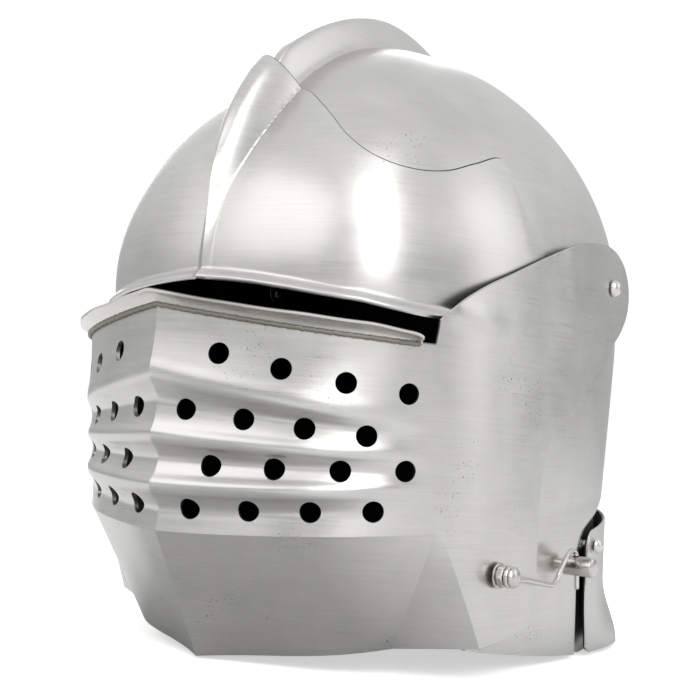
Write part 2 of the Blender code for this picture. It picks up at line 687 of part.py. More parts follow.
# ---------------------------------------------------------------- rivets, washers, latch
def build_pivots():
    """Domed pivot rivets with a spacer between the plates and a washer inside."""
    for side, label in SIDES:
        lathe(label + "_pivot_rivet", "bright",
                [(0, 104.7), (1.9, 104.4), (3.2, 103.4), (RIVET_HEAD, 102.0),
                 (RIVET_HEAD, 101.6), (PIVOT_SHANK, 101.6), (PIVOT_SHANK, 89.4),
                 (3.6, 89.4), (3.3, 88.1), (0, 87.6)], 0, 0, side)
        ring(label + "_pivot_spacer", "bright", 3.0, 6.2, 96.3, 98.6, 0, 0, side)
        ring(label + "_pivot_washer", "bright", 3.0, 6.4, 89.7, 90.5, 0, 0, side)


def side_x(y, z, out=0.0):
    """X of the skull's outer face at a side-view point below the equator."""
    power = FRONT_POWER if y < SKULL_CENTRE_Y else BACK_POWER
    reach = (SKULL_FRONT if y < SKULL_CENTRE_Y else float(skull_back(z))) + out
    share = 1 - (abs(y - SKULL_CENTRE_Y) / reach) ** power
    return (float(skull_width(z)) + out) * share ** (1 / power)


def build_nape_rivets():
    """Rivets on which the nape lame swings, with washers inside."""
    y, z = NAPE_PIVOT
    out = side_x(y, z, NAPE_GAP + SHEET)
    inner = side_x(y, z, -NECK_STEP - SHEET)
    for side, label in SIDES:
        lathe(label + "_nape_rivet", "bright",
                [(0, out + 3.8), (1.8, out + 3.5), (3.0, out + 2.7), (3.6, out + 1.7),
                 (3.6, out + 1.3), (2.0, out + 1.3), (2.0, inner - 4.2), (3.2, inner - 4.2),
                 (2.9, inner - 5.3), (0, inner - 5.6)], y, z, side, steps=16)
        ring(label + "_nape_washer", "bright", 2.4, 5.2, inner - 3.9, inner - 2.8, y, z, side,
             steps=16)


def build_latch(visor_hinge, hook_hinge):
    """Stud on the skull; bolt, nut and spring-wire hook on the visor."""
    y, z = STUD_AT
    skin = side_x(y, z)
    stud = lathe("latch_stud", "steel",
                   [(0, STUD_END), (3.9, STUD_END), (STUD_RADIUS, STUD_END - 0.4),
                    (STUD_RADIUS, skin + 2.8), (2.3, skin + 2.8), (2.3, skin - 3.2),
                    (3.4, skin - 3.2), (3.0, skin - 4.3), (0, skin - 4.6)], y, z, 1, steps=18)
    slot = bpy.data.meshes.new("hook_slot")
    bm = bmesh.new()
    bmesh.ops.create_cone(bm, cap_ends=True, segments=12, radius1=WIRE_HOLE,
                          radius2=WIRE_HOLE, depth=24)
    place = Matrix.Translation((HOOK_HOLE_X, y, z))
    bmesh.ops.transform(bm, matrix=seat_matrix() @ place, verts=bm.verts)
    bm.to_mesh(slot)
    bm.free()
    cut(stud, as_cutter(add_object("hook_slot", slot, None, group=CUTTERS)))

    y, z = BOLT_AT
    face = visor_plan(arc_at_y(y))[0]
    lathe("latch_bolt", "bright",
            [(0, face + 9.7), (2.4, face + 9.4), (3.6, face + 8.7), (4.1, face + 7.9),
             (4.1, face + 7.2), (1.95, face + 7.2), (1.95, face - 2.8), (3.9, face - 2.8),
             (3.9, face - 5.0), (3.0, face - 5.7), (0, face - 5.9)],
            y, z, 1, parent=visor_hinge, steps=18)
    ring("latch_washer", "bright", 2.3, 5.1, face + 0.95, face + 1.5, y, z, 1,
         parent=visor_hinge, steps=18)
    nut = cylinder("latch_nut", "bright", 4.62, face + 1.8, face + 4.6, y, z, sides=6,
                   parent=visor_hinge, bevel=0.5)
    drill = cylinder("nut_drill", None, 2.3, face - 2, face + 8, y, z, sides=18, group=CUTTERS)
    cut(nut, as_cutter(drill))
    build_hook(hook_hinge, face)


def build_hook(hinge, face):
    """Bent spring wire: an eye on the bolt, a run back and a pin down through the stud."""
    by, bz = BOLT_AT
    sy, sz = STUD_AT
    x = face + 5.95
    eye = [(x, by + 3.35 * math.cos(a), bz + 3.35 * math.sin(a))
           for a in np.radians(np.linspace(60, 335, 11))]
    run = [(x + 0.1, by + 6.5, bz - 2.2), (x - 0.1, by + 13, bz - 3.4), (x - 0.4, by + 25, bz - 6.6),
           (102.5, sy - 29, sz - 2.8), (102.3, sy - 25, sz - 3.4), (102.0, sy - 21.3, sz - 2.0),
           (101.9, sy - 17.5, sz + 1.6), (101.6, sy - 12.7, sz + 5.0), (101.2, sy - 8.5, sz + 6.8),
           (100.9, sy - 5, sz + 7.2), (HOOK_HOLE_X, sy - 2, sz + 6.4),
           (HOOK_HOLE_X, sy - 0.2, sz + 4.2), (HOOK_HOLE_X, sy, sz), (HOOK_HOLE_X, sy, sz - 9.4)]
    route = [tuple(p) for p in spline(eye, np.linspace(0, 1, 16))]
    route += [tuple(p) for p in spline([eye[-1]] + run, np.linspace(0.03, 1, 34))]
    curve = bpy.data.curves.new("latch_hook_route", "CURVE")
    curve.dimensions = "3D"
    curve.bevel_depth = WIRE_RADIUS * MM
    curve.bevel_resolution = 2
    curve.use_fill_caps = True
    line = curve.splines.new("POLY")
    line.points.add(len(route) - 1)
    for point, place in zip(line.points, seat(route)):
        point.co = (*place, 1.0)
    return add_object("latch_hook", curve_mesh("latch_hook", curve), "bright", parent=hinge)


# ---------------------------------------------------------------- the liner
def bowl(name, kind, thickness, out, rises, closed):
    """A cap or a band that follows the dome's inside, row by row."""
    angle = np.linspace(0, 2 * math.pi, 33)[:-1]
    rows = [dome_surface(angle, rise, out) for rise in rises]
    crown = dome_surface(np.array([0.0]), 0.9999, out)[0] if closed else None
    item = add_object(name, sheet_mesh(name, np.array(rows), wrap=True, cap=crown), kind)
    point_normals(item, (0, SKULL_CENTRE_Y, -20))
    thicken(item, thickness)
    return item


def build_liner():
    """Quilted cap and leather headband inside the bowl."""
    bowl("liner_cap", "linen", LINING, -5.0, [0.24, 0.36, 0.48, 0.6, 0.72, 0.84, 0.93], True)
    bowl("liner_band", "leather", HEADBAND, -7.0, [0.1, 0.155, 0.21], False)


def curve_mesh(name, curve):
    """The closed mesh of a bevelled curve, its caps welded."""
    holder = bpy.data.objects.new(name + "_route", curve)
    PARTS.objects.link(holder)
    bpy.context.view_layer.update()
    graph = bpy.context.evaluated_depsgraph_get()
    mesh = bpy.data.meshes.new_from_object(holder.evaluated_get(graph))
    bm = bmesh.new()
    bm.from_mesh(mesh)
    bmesh.ops.remove_doubles(bm, verts=bm.verts, dist=1e-6)
    bmesh.ops.recalc_face_normals(bm, faces=bm.faces)
    bm.to_mesh(mesh)
    bm.free()
    bpy.data.objects.remove(holder)
    return mesh


def build_all():
    """Build every part and the empties it moves on."""
    build_skull()
    build_brow()
    visor_hinge = hinge_empty("visor_hinge", 0.0, 0.0)
    hook_hinge = hinge_empty("hook_hinge", *BOLT_AT, parent=visor_hinge)
    nape_hinge = hinge_empty("nape_hinge", *NAPE_PIVOT)
    build_visor(visor_hinge)
    build_flange(visor_hinge)
    build_nape(nape_hinge)
    build_pivots()
    build_nape_rivets()
    build_latch(visor_hinge, hook_hinge)
    build_liner()


clear_scene()
PARTS = collection("knight_helmet")
CUTTERS = collection("cutters")
build_all()
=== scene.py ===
"""Knight helmet: raised skull with a comb, cusped brow plate, bellows visor, nape lame and latch.

Every surface is laid out in a head frame in millimetres: X to the wearer's left, Y to the back,
Z up, with the origin on the visor's pivot axis.  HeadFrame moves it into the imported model's frame.
"""
import json
import logging
import math
from dataclasses import dataclass, field
from enum import Enum
from typing import Any, Sequence

import bmesh
import bpy
import numpy as np
from mathutils import Matrix, Vector


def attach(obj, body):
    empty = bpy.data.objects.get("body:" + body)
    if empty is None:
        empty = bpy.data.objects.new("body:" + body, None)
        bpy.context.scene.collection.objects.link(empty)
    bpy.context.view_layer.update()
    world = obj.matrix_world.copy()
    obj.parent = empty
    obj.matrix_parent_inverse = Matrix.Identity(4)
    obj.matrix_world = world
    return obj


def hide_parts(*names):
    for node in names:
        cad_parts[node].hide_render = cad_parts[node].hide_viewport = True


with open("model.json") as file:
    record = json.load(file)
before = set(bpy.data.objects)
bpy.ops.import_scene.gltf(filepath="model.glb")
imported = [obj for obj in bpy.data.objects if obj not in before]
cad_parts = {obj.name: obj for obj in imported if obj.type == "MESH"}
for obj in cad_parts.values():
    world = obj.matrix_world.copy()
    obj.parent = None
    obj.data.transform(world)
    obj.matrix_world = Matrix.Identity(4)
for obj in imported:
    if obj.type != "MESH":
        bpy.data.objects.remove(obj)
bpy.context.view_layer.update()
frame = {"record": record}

log = logging.getLogger("knight_helmet")
Array = np.ndarray
MM = 0.001
PIVOT_HOLE = 2.9                  # radii of the drilled holes, mm
NAPE_HOLE = 2.4
BOLT_HOLE = 2.35
WIRE_HOLE = 1.7


# ---------------------------------------------------------------- small mathematics
def smooth(low: float, high: float, value: Any) -> Array:
    """Ease from 0 to 1: t squared times (3 - 2t), t being the clipped share of low..high.

    Args:
        low: value at which the result leaves 0.
        high: value at which the result reaches 1.
        value: number or array.

    Returns:
        Array of shares from 0 to 1.
    """
    t = np.clip((np.asarray(value, float) - low) / (high - low), 0.0, 1.0)
    return t * t * (3 - 2 * t)


def bump(centre: float, width: float, value: Any) -> Array:
    """Bell curve: e to the minus squared distance from the centre over the width."""
    return np.exp(-((np.asarray(value, float) - centre) / width) ** 2)


def curve_through(points: Sequence[Sequence[float]], at: Any) -> Array:
    """Hermite curve through points, each slope being the mean of its two neighbours' slopes.

    Args:
        points: the points, in any number of dimensions.
        at: shares of the chord length from 0 to 1.

    Returns:
        Array of points, one per share.
    """
    knots = np.array(points, float)
    chord = np.r_[0.0, np.cumsum(np.linalg.norm(np.diff(knots, axis=0), axis=1))]
    slope = np.gradient(knots, chord, axis=0)
    at = np.clip(np.asarray(at, float), 0.0, 1.0) * chord[-1]
    i = np.clip(np.searchsorted(chord, at, side="right") - 1, 0, len(chord) - 2)
    step = (chord[i + 1] - chord[i])[..., None]
    t = (at - chord[i])[..., None] / step
    return ((2 * t**3 - 3 * t**2 + 1) * knots[i] + (t**3 - 2 * t**2 + t) * step * slope[i]
            + (3 * t**2 - 2 * t**3) * knots[i + 1] + (t**3 - t**2) * step * slope[i + 1])


def spread(length: float, count: int, dense: Sequence[tuple[float, float, float]]) -> Array:
    """Places along a length, closer together near given spots.

    The density is 1 plus a bell curve at each spot, and the places are equal shares of its sum.

    Args:
        length: the whole length.
        count: number of places.
        dense: (centre, width, extra density) of each spot.

    Returns:
        Array of places from 0 to length.
    """
    s = np.linspace(0, length, 4001)
    weight = 1.0 + sum(extra * bump(centre, width, s) for centre, width, extra in dense)
    total = np.r_[0, np.cumsum((weight[1:] + weight[:-1]) / 2)]
    return np.interp(np.linspace(0, total[-1], count), total, s)


@dataclass(frozen=True)
class HeadFrame:
    """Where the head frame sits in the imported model."""

    lean: float = math.radians(7.0)

    @property
    def pivot(self) -> Array:
        """The visor hinge's place in metres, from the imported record."""
        joints = frame["record"]["behaviour"]["joints"]
        return np.array(next(j["pos_m"] for j in joints if j["name"] == "visor_hinge"))

    def seat(self, points: Any) -> Array:
        """Turn head-frame millimetres about X by the lean, scale to metres, move to the pivot.

        Args:
            points: head-frame points in millimetres.

        Returns:
            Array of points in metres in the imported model's frame.
        """
        p = np.asarray(points, float) * MM
        c, s = math.cos(self.lean), math.sin(self.lean)
        return np.stack([p[..., 0], p[..., 1] * c - p[..., 2] * s,
                         p[..., 1] * s + p[..., 2] * c], -1) + self.pivot


HEAD = HeadFrame()


# ---------------------------------------------------------------- meshes from grids
def normals_of(grid: Array, wrap: bool = False) -> Array:
    """Unit normals of a grid: the cross product of its row and column differences.

    Args:
        grid: rows x columns x 3 points.
        wrap: True when the last column meets the first.

    Returns:
        Array like the grid.
    """
    wide = np.concatenate([grid[:, -3:], grid, grid[:, :3]], 1) if wrap else grid
    normal = np.cross(np.gradient(wide, axis=1), np.gradient(wide, axis=0))
    if wrap:
        normal = normal[:, 3:-3]
    size = np.linalg.norm(normal, axis=2, keepdims=True)
    return normal / np.maximum(size, 1e-9)


def quads(rows: int, cols: int, wrap: bool = False) -> Array:
    """Corner numbers of a grid's quads, four to a row.

    Args:
        rows: rows of points.
        cols: points to a row.
        wrap: True when the last column meets the first.

    Returns:
        Array of four corner numbers for each quad.
    """
    r, c = np.meshgrid(np.arange(rows - 1), np.arange(cols if wrap else cols - 1), indexing="ij")
    d = (c + 1) % cols
    return np.stack([r * cols + c, r * cols + d, (r + 1) * cols + d, (r + 1) * cols + c],
                    -1).reshape(-1, 4)


def make_object(name: str, points: Array, faces: Sequence[Sequence[int]],
                sharp: float = 40.0, painted_shade_faces: Array | None = None) -> bpy.types.Object:
    """Put points and faces into a mesh object, smooth shaded, sharp past an angle.

    Args:
        name: the object's name.
        points: head-frame points in millimetres.
        faces: corner numbers of each face.
        sharp: angle in degrees past which an edge is sharp.
        painted_shade_faces: 1 for each face coloured with the dark painted shade, 0 for each one
            with its own finish.

    Returns:
        The linked object.
    """
    mesh = bpy.data.meshes.new(name)
    mesh.from_pydata(HEAD.seat(points).tolist(), [], [tuple(map(int, f)) for f in faces])
    # Faces marked 1 take the second material, the dark painted shade.
    if painted_shade_faces is not None:
        mesh.polygons.foreach_set("material_index", painted_shade_faces.astype(np.int32))
    shell = bmesh.new()
    shell.from_mesh(mesh)
    bmesh.ops.remove_doubles(shell, verts=shell.verts, dist=1e-6)
    bmesh.ops.recalc_face_normals(shell, faces=shell.faces)
    shell.to_mesh(mesh)
    shell.free()
    mesh.shade_smooth()
    mesh.set_sharp_from_angle(angle=math.radians(sharp))
    item = bpy.data.objects.new(name, mesh)
    bpy.context.scene.collection.objects.link(item)
    return item


def plate(name: str, outer: Array, inner: Array, wrap: bool = False, crown: bool = False,
          round_rim: float = 0.3, sharp: float = 40.0, painted_shade_rim: bool = False) -> bpy.types.Object:
    """A closed wall between an outer and an inner grid, with a rounded rim.

    The rim runs round the border through a middle line, which stands out from the wall by a
    share of its thickness, so a cut edge catches the light as a filed edge does.

    Args:
        name: the object's name.
        outer: rows x columns x 3 points of the outer face.
        inner: the same for the inner face.
        wrap: True when the last column meets the first.
        crown: True when the last row closes on one point.
        round_rim: how far the middle of the rim stands out, as a share of the thickness.
        sharp: angle in degrees past which an edge is sharp.
        painted_shade_rim: True to paint shade on the rim's outer half as well, except on the first
            row.

    Returns:
        The linked object.
    """
    rows, cols = outer.shape[:2]
    count = rows * cols
    faces = [quads(rows, cols, wrap), quads(rows, cols, wrap)[:, ::-1] + count]
    points = [outer.reshape(-1, 3), inner.reshape(-1, 3)]
    index = np.arange(count).reshape(rows, cols)
    if wrap:
        borders = [(np.r_[index[0], index[0, 0]], np.r_[index[1], index[1, 0]])]
        if not crown:
            borders.append((np.r_[index[-1], index[-1, 0]], np.r_[index[-2], index[-2, 0]]))
    else:
        loop = np.r_[index[0, :-1], index[:-1, -1], index[-1, :0:-1], index[::-1, 0]]
        within = np.clip(np.stack(np.unravel_index(loop, (rows, cols)), -1), 1,
                         [rows - 2, cols - 2])
        borders = [(loop, index[within[:, 0], within[:, 1]])]
    base = 2 * count
    for loop, within in borders:
        away = points[0][loop] - points[0][within]
        away /= np.maximum(np.linalg.norm(away, axis=1, keepdims=True), 1e-9)
        thick = np.linalg.norm(points[0][loop] - points[1][loop], axis=1, keepdims=True)
        points.append((points[0][loop] + points[1][loop]) / 2 + away * thick * round_rim)
        mid = base + np.arange(len(loop))
        base += len(loop)
        faces.append(np.stack([loop[:-1], loop[1:], mid[1:], mid[:-1]], -1))
        faces.append(np.stack([mid[:-1], mid[1:], loop[1:] + count, loop[:-1] + count], -1))
    # Painted shade: the inside faces and the inner half of every rim take material 1, a dark steel
    # that stands for the shade inside the helmet and in the gaps at its edges.
    painted_shade_faces = [np.full(len(part), k % 2) for k, part in enumerate(faces)]
    # When the rim is to be shaded, its outer half is painted dark too, except along the first row.
    if painted_shade_rim:
        painted_shade_faces[2][cols - 1:] = 1
    painted_shade_faces = np.concatenate(painted_shade_faces)
    return make_object(name, np.concatenate(points), np.concatenate(faces), sharp, painted_shade_faces)


def drilled(item: bpy.types.Object, cutters: Sequence[bpy.types.Object],
            sharp: float = 40.0) -> bpy.types.Object:
    """Cut the cutters out of a closed piece and keep the result as its mesh.

    Args:
        item: the closed piece.
        cutters: closed cutters, removed afterwards.
        sharp: angle in degrees past which an edge is sharp.

    Returns:
        The piece.
    """
    for cutter in cutters:
        cut = item.modifiers.new("cut", "BOOLEAN")
        cut.operation = "DIFFERENCE"
        cut.solver = "EXACT"
        cut.object = cutter
    bpy.context.view_layer.update()
    graph = bpy.context.evaluated_depsgraph_get()
    mesh = bpy.data.meshes.new_from_object(item.evaluated_get(graph))
    item.modifiers.clear()
    item.data = mesh
    mesh.shade_smooth()
    mesh.set_sharp_from_angle(angle=math.radians(sharp))
    for cutter in cutters:
        bpy.data.objects.remove(cutter, do_unlink=True)
    return item


def drills(name: str, places: Sequence[Sequence[float]], ways: Sequence[Sequence[float]],
           radius: float, reach: float, sides: int = 40) -> bpy.types.Object:
    """Round bars standing on given places, one mesh for all of them.

    Each bar is a circle of points swept both ways along its direction.

    Args:
        name: the object's name.
        places: middle of each bar.
        ways: direction of each bar.
        radius: radius of the bars.
        reach: half length of the bars.
        sides: number of sides.

    Returns:
        The linked object.
    """
    at = np.asarray(places, float)[:, None, None]
    way = np.asarray(ways, float)
    way = way / np.linalg.norm(way, axis=1, keepdims=True)
    side = np.cross(way, [0.0, 0.0, 1.0])
    side /= np.linalg.norm(side, axis=1, keepdims=True)
    up = np.cross(side, way)
    turn = np.linspace(0, 2 * math.pi, sides, endpoint=False)[None, None, :, None]
    ends = np.array([-reach, reach])[None, :, None, None]
    points = (at + way[:, None, None] * ends
              + radius * (np.cos(turn) * side[:, None, None] + np.sin(turn) * up[:, None, None]))
    first = np.arange(len(way)) * 2 * sides
    ring = np.arange(sides)
    wall = np.stack([ring, (ring + 1) % sides, sides + (ring + 1) % sides, sides + ring], -1)
    faces = [list(f) for f in (first[:, None, None] + wall).reshape(-1, 4)]
    faces += [list(k + ring[::-1]) for k in first] + [list(k + sides + ring) for k in first]
    return make_object(name, points.reshape(-1, 3), faces)


def turned(name: str, profile: Sequence[tuple[float, float]], y: float, z: float, side: int,
           sides: int = 48, corner: float = 0.16) -> bpy.types.Object:
    """A turned piece on the head's X axis.

    The profile of (radius, x) is swept round the axis.  Each corner of the profile is doubled
    a little way along both of its sides, which rounds it as a tool or a hammer does.

    Args:
        name: the object's name.
        profile: points of (radius, x), from the outer end on the axis to the inner end.
        y: place of the axis.
        z: place of the axis.
        side: 1 for the wearer's left, -1 for the right.
        sides: number of sides.
        corner: how far from each corner its two added points are.

    Returns:
        The linked object.
    """
    line = [np.array(profile[0], float)]
    for before, here, after in zip(profile, profile[1:], profile[2:]):
        here = np.array(here, float)
        for other in (before, after):
            gap = np.array(other, float) - here
            line.append(here + gap * min(0.45, corner / max(np.linalg.norm(gap), 1e-6)))
    line.append(np.array(profile[-1], float))
    line = np.array(line)
    turn = np.linspace(0, 2 * math.pi, sides, endpoint=False)
    grid = np.stack([side * np.broadcast_to(line[:, 1:], (len(line), sides)),
                     y + line[:, :1] * np.cos(turn), z + line[:, :1] * np.sin(turn)], -1)
    return make_object(name, grid.reshape(-1, 3), quads(len(line), sides, wrap=True), 50.0)


def washer(name: str, inner: float, outer: float, x0: float, x1: float, y: float, z: float,
           side: int, sides: int = 48) -> bpy.types.Object:
    """A flat ring on the head's X axis with its outer corners eased.

    Args:
        name: the object's name.
        inner: radius of the hole.
        outer: outer radius.
        x0: inner face.
        x1: outer face.
        y: place of the axis.
        z: place of the axis.
        side: 1 for the wearer's left, -1 for the right.
        sides: number of sides.

    Returns:
        The linked object.
    """
    ease = 0.22 * (x1 - x0)
    loop = np.array([(inner, x0), (inner, x1), (outer - ease, x1), (outer, x1 - ease),
                     (outer, x0 + ease), (outer - ease, x0)])
    turn = np.linspace(0, 2 * math.pi, sides, endpoint=False)
    grid = np.stack([side * np.broadcast_to(loop[:, 1:], (len(loop), sides)),
                     y + loop[:, :1] * np.cos(turn), z + loop[:, :1] * np.sin(turn)], -1)
    closed = np.concatenate([grid, grid[:1]])
    return make_object(name, closed.reshape(-1, 3), quads(len(closed), sides, wrap=True), 50.0)


def tube(name: str, route: Array, radius: float, sides: int = 20,
         ends: float = 0.5) -> bpy.types.Object:
    """A round wire along a route, with softly rounded ends.

    A circle is carried along the route in the frame of its tangent and a steady side vector;
    the last rings shrink to close the ends.

    Args:
        name: the object's name.
        route: points of the wire's middle.
        radius: radius of the wire.
        sides: number of sides.
        ends: how far the rounded ends reach, in radii.

    Returns:
        The linked object.
    """
    along = np.gradient(route, axis=0)
    along /= np.linalg.norm(along, axis=1, keepdims=True)
    head = route[0] - along[0] * radius * ends
    tail = route[-1] + along[-1] * radius * ends
    path = np.concatenate([[head], [head], route, [tail], [tail]])
    size = np.r_[0.0, 0.7, np.ones(len(route)), 0.7, 0.0] * radius
    tangent = np.concatenate([along[:1], along[:1], along, along[-1:], along[-1:]])
    side = np.cross(tangent, [0.0, 0.6, 0.8])
    weak = np.linalg.norm(side, axis=1) < 0.35
    side[weak] = np.cross(tangent[weak], [1.0, 0.0, 0.0])
    for i in range(1, len(side)):
        side[i] = side[i - 1] - tangent[i] * np.dot(side[i - 1], tangent[i])
        side[i] /= np.linalg.norm(side[i])
    side[0] /= np.linalg.norm(side[0])
    up = np.cross(tangent, side)
    turn = np.linspace(0, 2 * math.pi, sides, endpoint=False)
    grid = (path[:, None] + size[:, None, None]
            * (np.cos(turn)[None, :, None] * side[:, None] + np.sin(turn)[None, :, None]
               * up[:, None]))
    return make_object(name, grid.reshape(-1, 3), quads(len(path), sides, wrap=True), 60.0)


# ---------------------------------------------------------------- finishes
def linear(code: str) -> tuple[float, float, float, float]:
    """An sRGB hex colour as linear red, green, blue and an alpha of 1."""
    parts = [int(code[i:i + 2], 16) / 255 for i in (0, 2, 4)]
    return (*[p / 12.92 if p <= 0.04045 else ((p + 0.055) / 1.055) ** 2.4 for p in parts], 1.0)


def add_node(tree: bpy.types.NodeTree, kind: str, inputs: dict[Any, Any] | None = None,
             **settings: Any) -> bpy.types.Node:
    """Add a node, set it up and link it.

    Args:
        tree: the node tree.
        kind: the node's type name.
        inputs: socket name or number to a value, or to the output socket that feeds it.
        settings: the node's own properties.

    Returns:
        The node.
    """
    node = tree.nodes.new(kind)
    for key, value in settings.items():
        setattr(node, key, value)
    for key, value in (inputs or {}).items():
        if isinstance(value, bpy.types.NodeSocket):
            tree.links.new(value, node.inputs[key])
        else:
            node.inputs[key].default_value = value
    return node


class Grain(Enum):
    """Which way a finishing belt ran: the pattern's length across and along the helmet, mm."""

    LEVEL = (26.0, 26.0, 0.55)
    UPRIGHT = (0.6, 0.6, 22.0)
    TURNED = (0.5, 6.0, 6.0)


@dataclass(frozen=True)
class SatinSteel:
    """Mild steel sheet, raised with a hammer, then finished with a fine belt.

    The belt leaves level hairlines, the hammer leaves shallow waves that bend the reflections,
    and a few rust pits are left where the sheet was worked hardest.
    """

    name: str
    tone: str = "D2D1CE"
    roughness: float = 0.31
    grain: Grain = Grain.LEVEL        # hairlines drawn wider than the belt's, so that they show
    grain_depth: float = 0.012        # mm
    wave_mm: float = 34.0             # spacing of the hammer's waves
    wave_depth: float = 0.16          # mm
    pit_mm: float = 1.0               # rust pits, about a millimetre across
    pits: float = 1.0

    def build(self) -> bpy.types.Material:
        """Make the material: hairline, blotch and pit noises drive colour, roughness and bump."""
        material = bpy.data.materials.new(self.name)
        material.use_nodes = True
        tree = material.node_tree
        shader = tree.nodes["Principled BSDF"]
        shader.inputs["Metallic"].default_value = 1.0
        place = add_node(tree, "ShaderNodeTexCoord").outputs["Object"]
        stretch = add_node(tree, "ShaderNodeMapping",
                           {"Vector": place, "Scale": [1 / (MM * s) for s in self.grain.value]})
        hair = add_node(tree, "ShaderNodeTexNoise",
                        {"Vector": stretch.outputs[0], "Scale": 1.0, "Detail": 4.0,
                         "Roughness": 0.65}).outputs[0]
        blotch = add_node(tree, "ShaderNodeTexNoise",
                          {"Vector": place, "Scale": 1 / (24 * MM), "Detail": 5.0,
                           "Roughness": 0.6}).outputs[0]
        wave = add_node(tree, "ShaderNodeTexNoise",
                        {"Vector": place, "Scale": 1 / (self.wave_mm * MM), "Detail": 1.5,
                         "Roughness": 0.4}).outputs[0]
        fleck = add_node(tree, "ShaderNodeTexNoise",
                         {"Vector": place, "Scale": 1 / (self.pit_mm * MM), "Detail": 2.0,
                          "Roughness": 0.7}).outputs[0]
        patch = add_node(tree, "ShaderNodeTexNoise",
                         {"Vector": place, "Scale": 1 / (30 * MM), "Detail": 2.0}).outputs[0]
        spot = add_node(tree, "ShaderNodeMapRange",
                        {"Value": fleck, "From Min": 0.655, "From Max": 0.70}).outputs[0]
        zone = add_node(tree, "ShaderNodeMapRange",
                        {"Value": patch, "From Min": 0.585, "From Max": 0.68,
                         "To Max": self.pits}).outputs[0]
        pit = add_node(tree, "ShaderNodeMath", {0: spot, 1: zone}, operation="MULTIPLY",
                       use_clamp=True).outputs[0]
        shade = add_node(tree, "ShaderNodeMath", {0: hair, 1: blotch},
                         operation="ADD").outputs[0]
        tint = add_node(tree, "ShaderNodeMapRange",
                        {"Value": shade, "From Min": 0.6, "From Max": 1.4,
                         "To Min": 0.80, "To Max": 1.0}).outputs[0]
        steel = add_node(tree, "ShaderNodeMix", {6: linear(self.tone), 7: (0, 0, 0, 1)},
                         data_type="RGBA", blend_type="MULTIPLY")
        steel.inputs[0].default_value = 1.0
        tree.links.new(tint, steel.inputs[7])
        colour = add_node(tree, "ShaderNodeMix",
                          {0: pit, 6: steel.outputs[2], 7: linear("3B3835")},
                          data_type="RGBA").outputs[2]
        tree.links.new(colour, shader.inputs["Base Color"])
        rough = add_node(tree, "ShaderNodeMapRange",
                         {"Value": shade, "From Min": 0.6, "From Max": 1.4,
                          "To Min": self.roughness - 0.06,
                          "To Max": self.roughness + 0.08}).outputs[0]
        dull = add_node(tree, "ShaderNodeMath", {0: pit, 1: 0.35, 2: rough},
                        operation="MULTIPLY_ADD").outputs[0]
        tree.links.new(dull, shader.inputs["Roughness"])
        waves = add_node(tree, "ShaderNodeBump",
                         {"Height": wave, "Distance": self.wave_depth * MM, "Strength": 1.0})
        lines = add_node(tree, "ShaderNodeBump",
                         {"Height": hair, "Distance": self.grain_depth * MM, "Strength": 1.0,
                          "Normal": waves.outputs[0]})
        hollow = add_node(tree, "ShaderNodeBump",
                          {"Height": pit, "Distance": 0.12 * MM, "Strength": 1.0,
                           "Normal": lines.outputs[0]}, invert=True)
        tree.links.new(hollow.outputs[0], shader.inputs["Normal"])
        return material


@dataclass(frozen=True)
class Cloth:
    """Unbleached linen, plain woven, over wool wadding: fuzzy, matt, yarns about 1 mm apart."""

    name: str = "linen_plain_weave"
    tone: str = "B9AB8C"
    shadow: str = "8E8166"
    yarn_mm: float = 1.1              # drawn twice as coarse as the real yarn, so that it shows

    def build(self) -> bpy.types.Material:
        """Make the material: crossed waves for the yarns, a noise for uneven dye."""
        material = bpy.data.materials.new(self.name)
        material.use_nodes = True
        tree = material.node_tree
        shader = tree.nodes["Principled BSDF"]
        shader.inputs["Roughness"].default_value = 0.92
        shader.inputs["Sheen Weight"].default_value = 0.25
        place = add_node(tree, "ShaderNodeTexCoord").outputs["Object"]
        warp, weft = [add_node(tree, "ShaderNodeTexWave",
                               {"Vector": place, "Scale": 0.31 / (self.yarn_mm * MM),
                                "Distortion": 0.6, "Detail": 1.0},
                               bands_direction=way).outputs[1] for way in ("X", "DIAGONAL")]
        weave = add_node(tree, "ShaderNodeMath", {0: warp, 1: weft},
                         operation="MULTIPLY").outputs[0]
        dye = add_node(tree, "ShaderNodeTexNoise",
                       {"Vector": place, "Scale": 1 / (18 * MM), "Detail": 4.0}).outputs[0]
        both = add_node(tree, "ShaderNodeMath", {0: weave, 1: 0.4, 2: dye},
                        operation="MULTIPLY_ADD").outputs[0]
        colour = add_node(tree, "ShaderNodeMix",
                          {0: both, 6: linear(self.shadow), 7: linear(self.tone)},
                          data_type="RGBA").outputs[2]
        tree.links.new(colour, shader.inputs["Base Color"])
        relief = add_node(tree, "ShaderNodeBump", {"Height": weave, "Distance": 0.15 * MM})
        tree.links.new(relief.outputs[0], shader.inputs["Normal"])
        return material


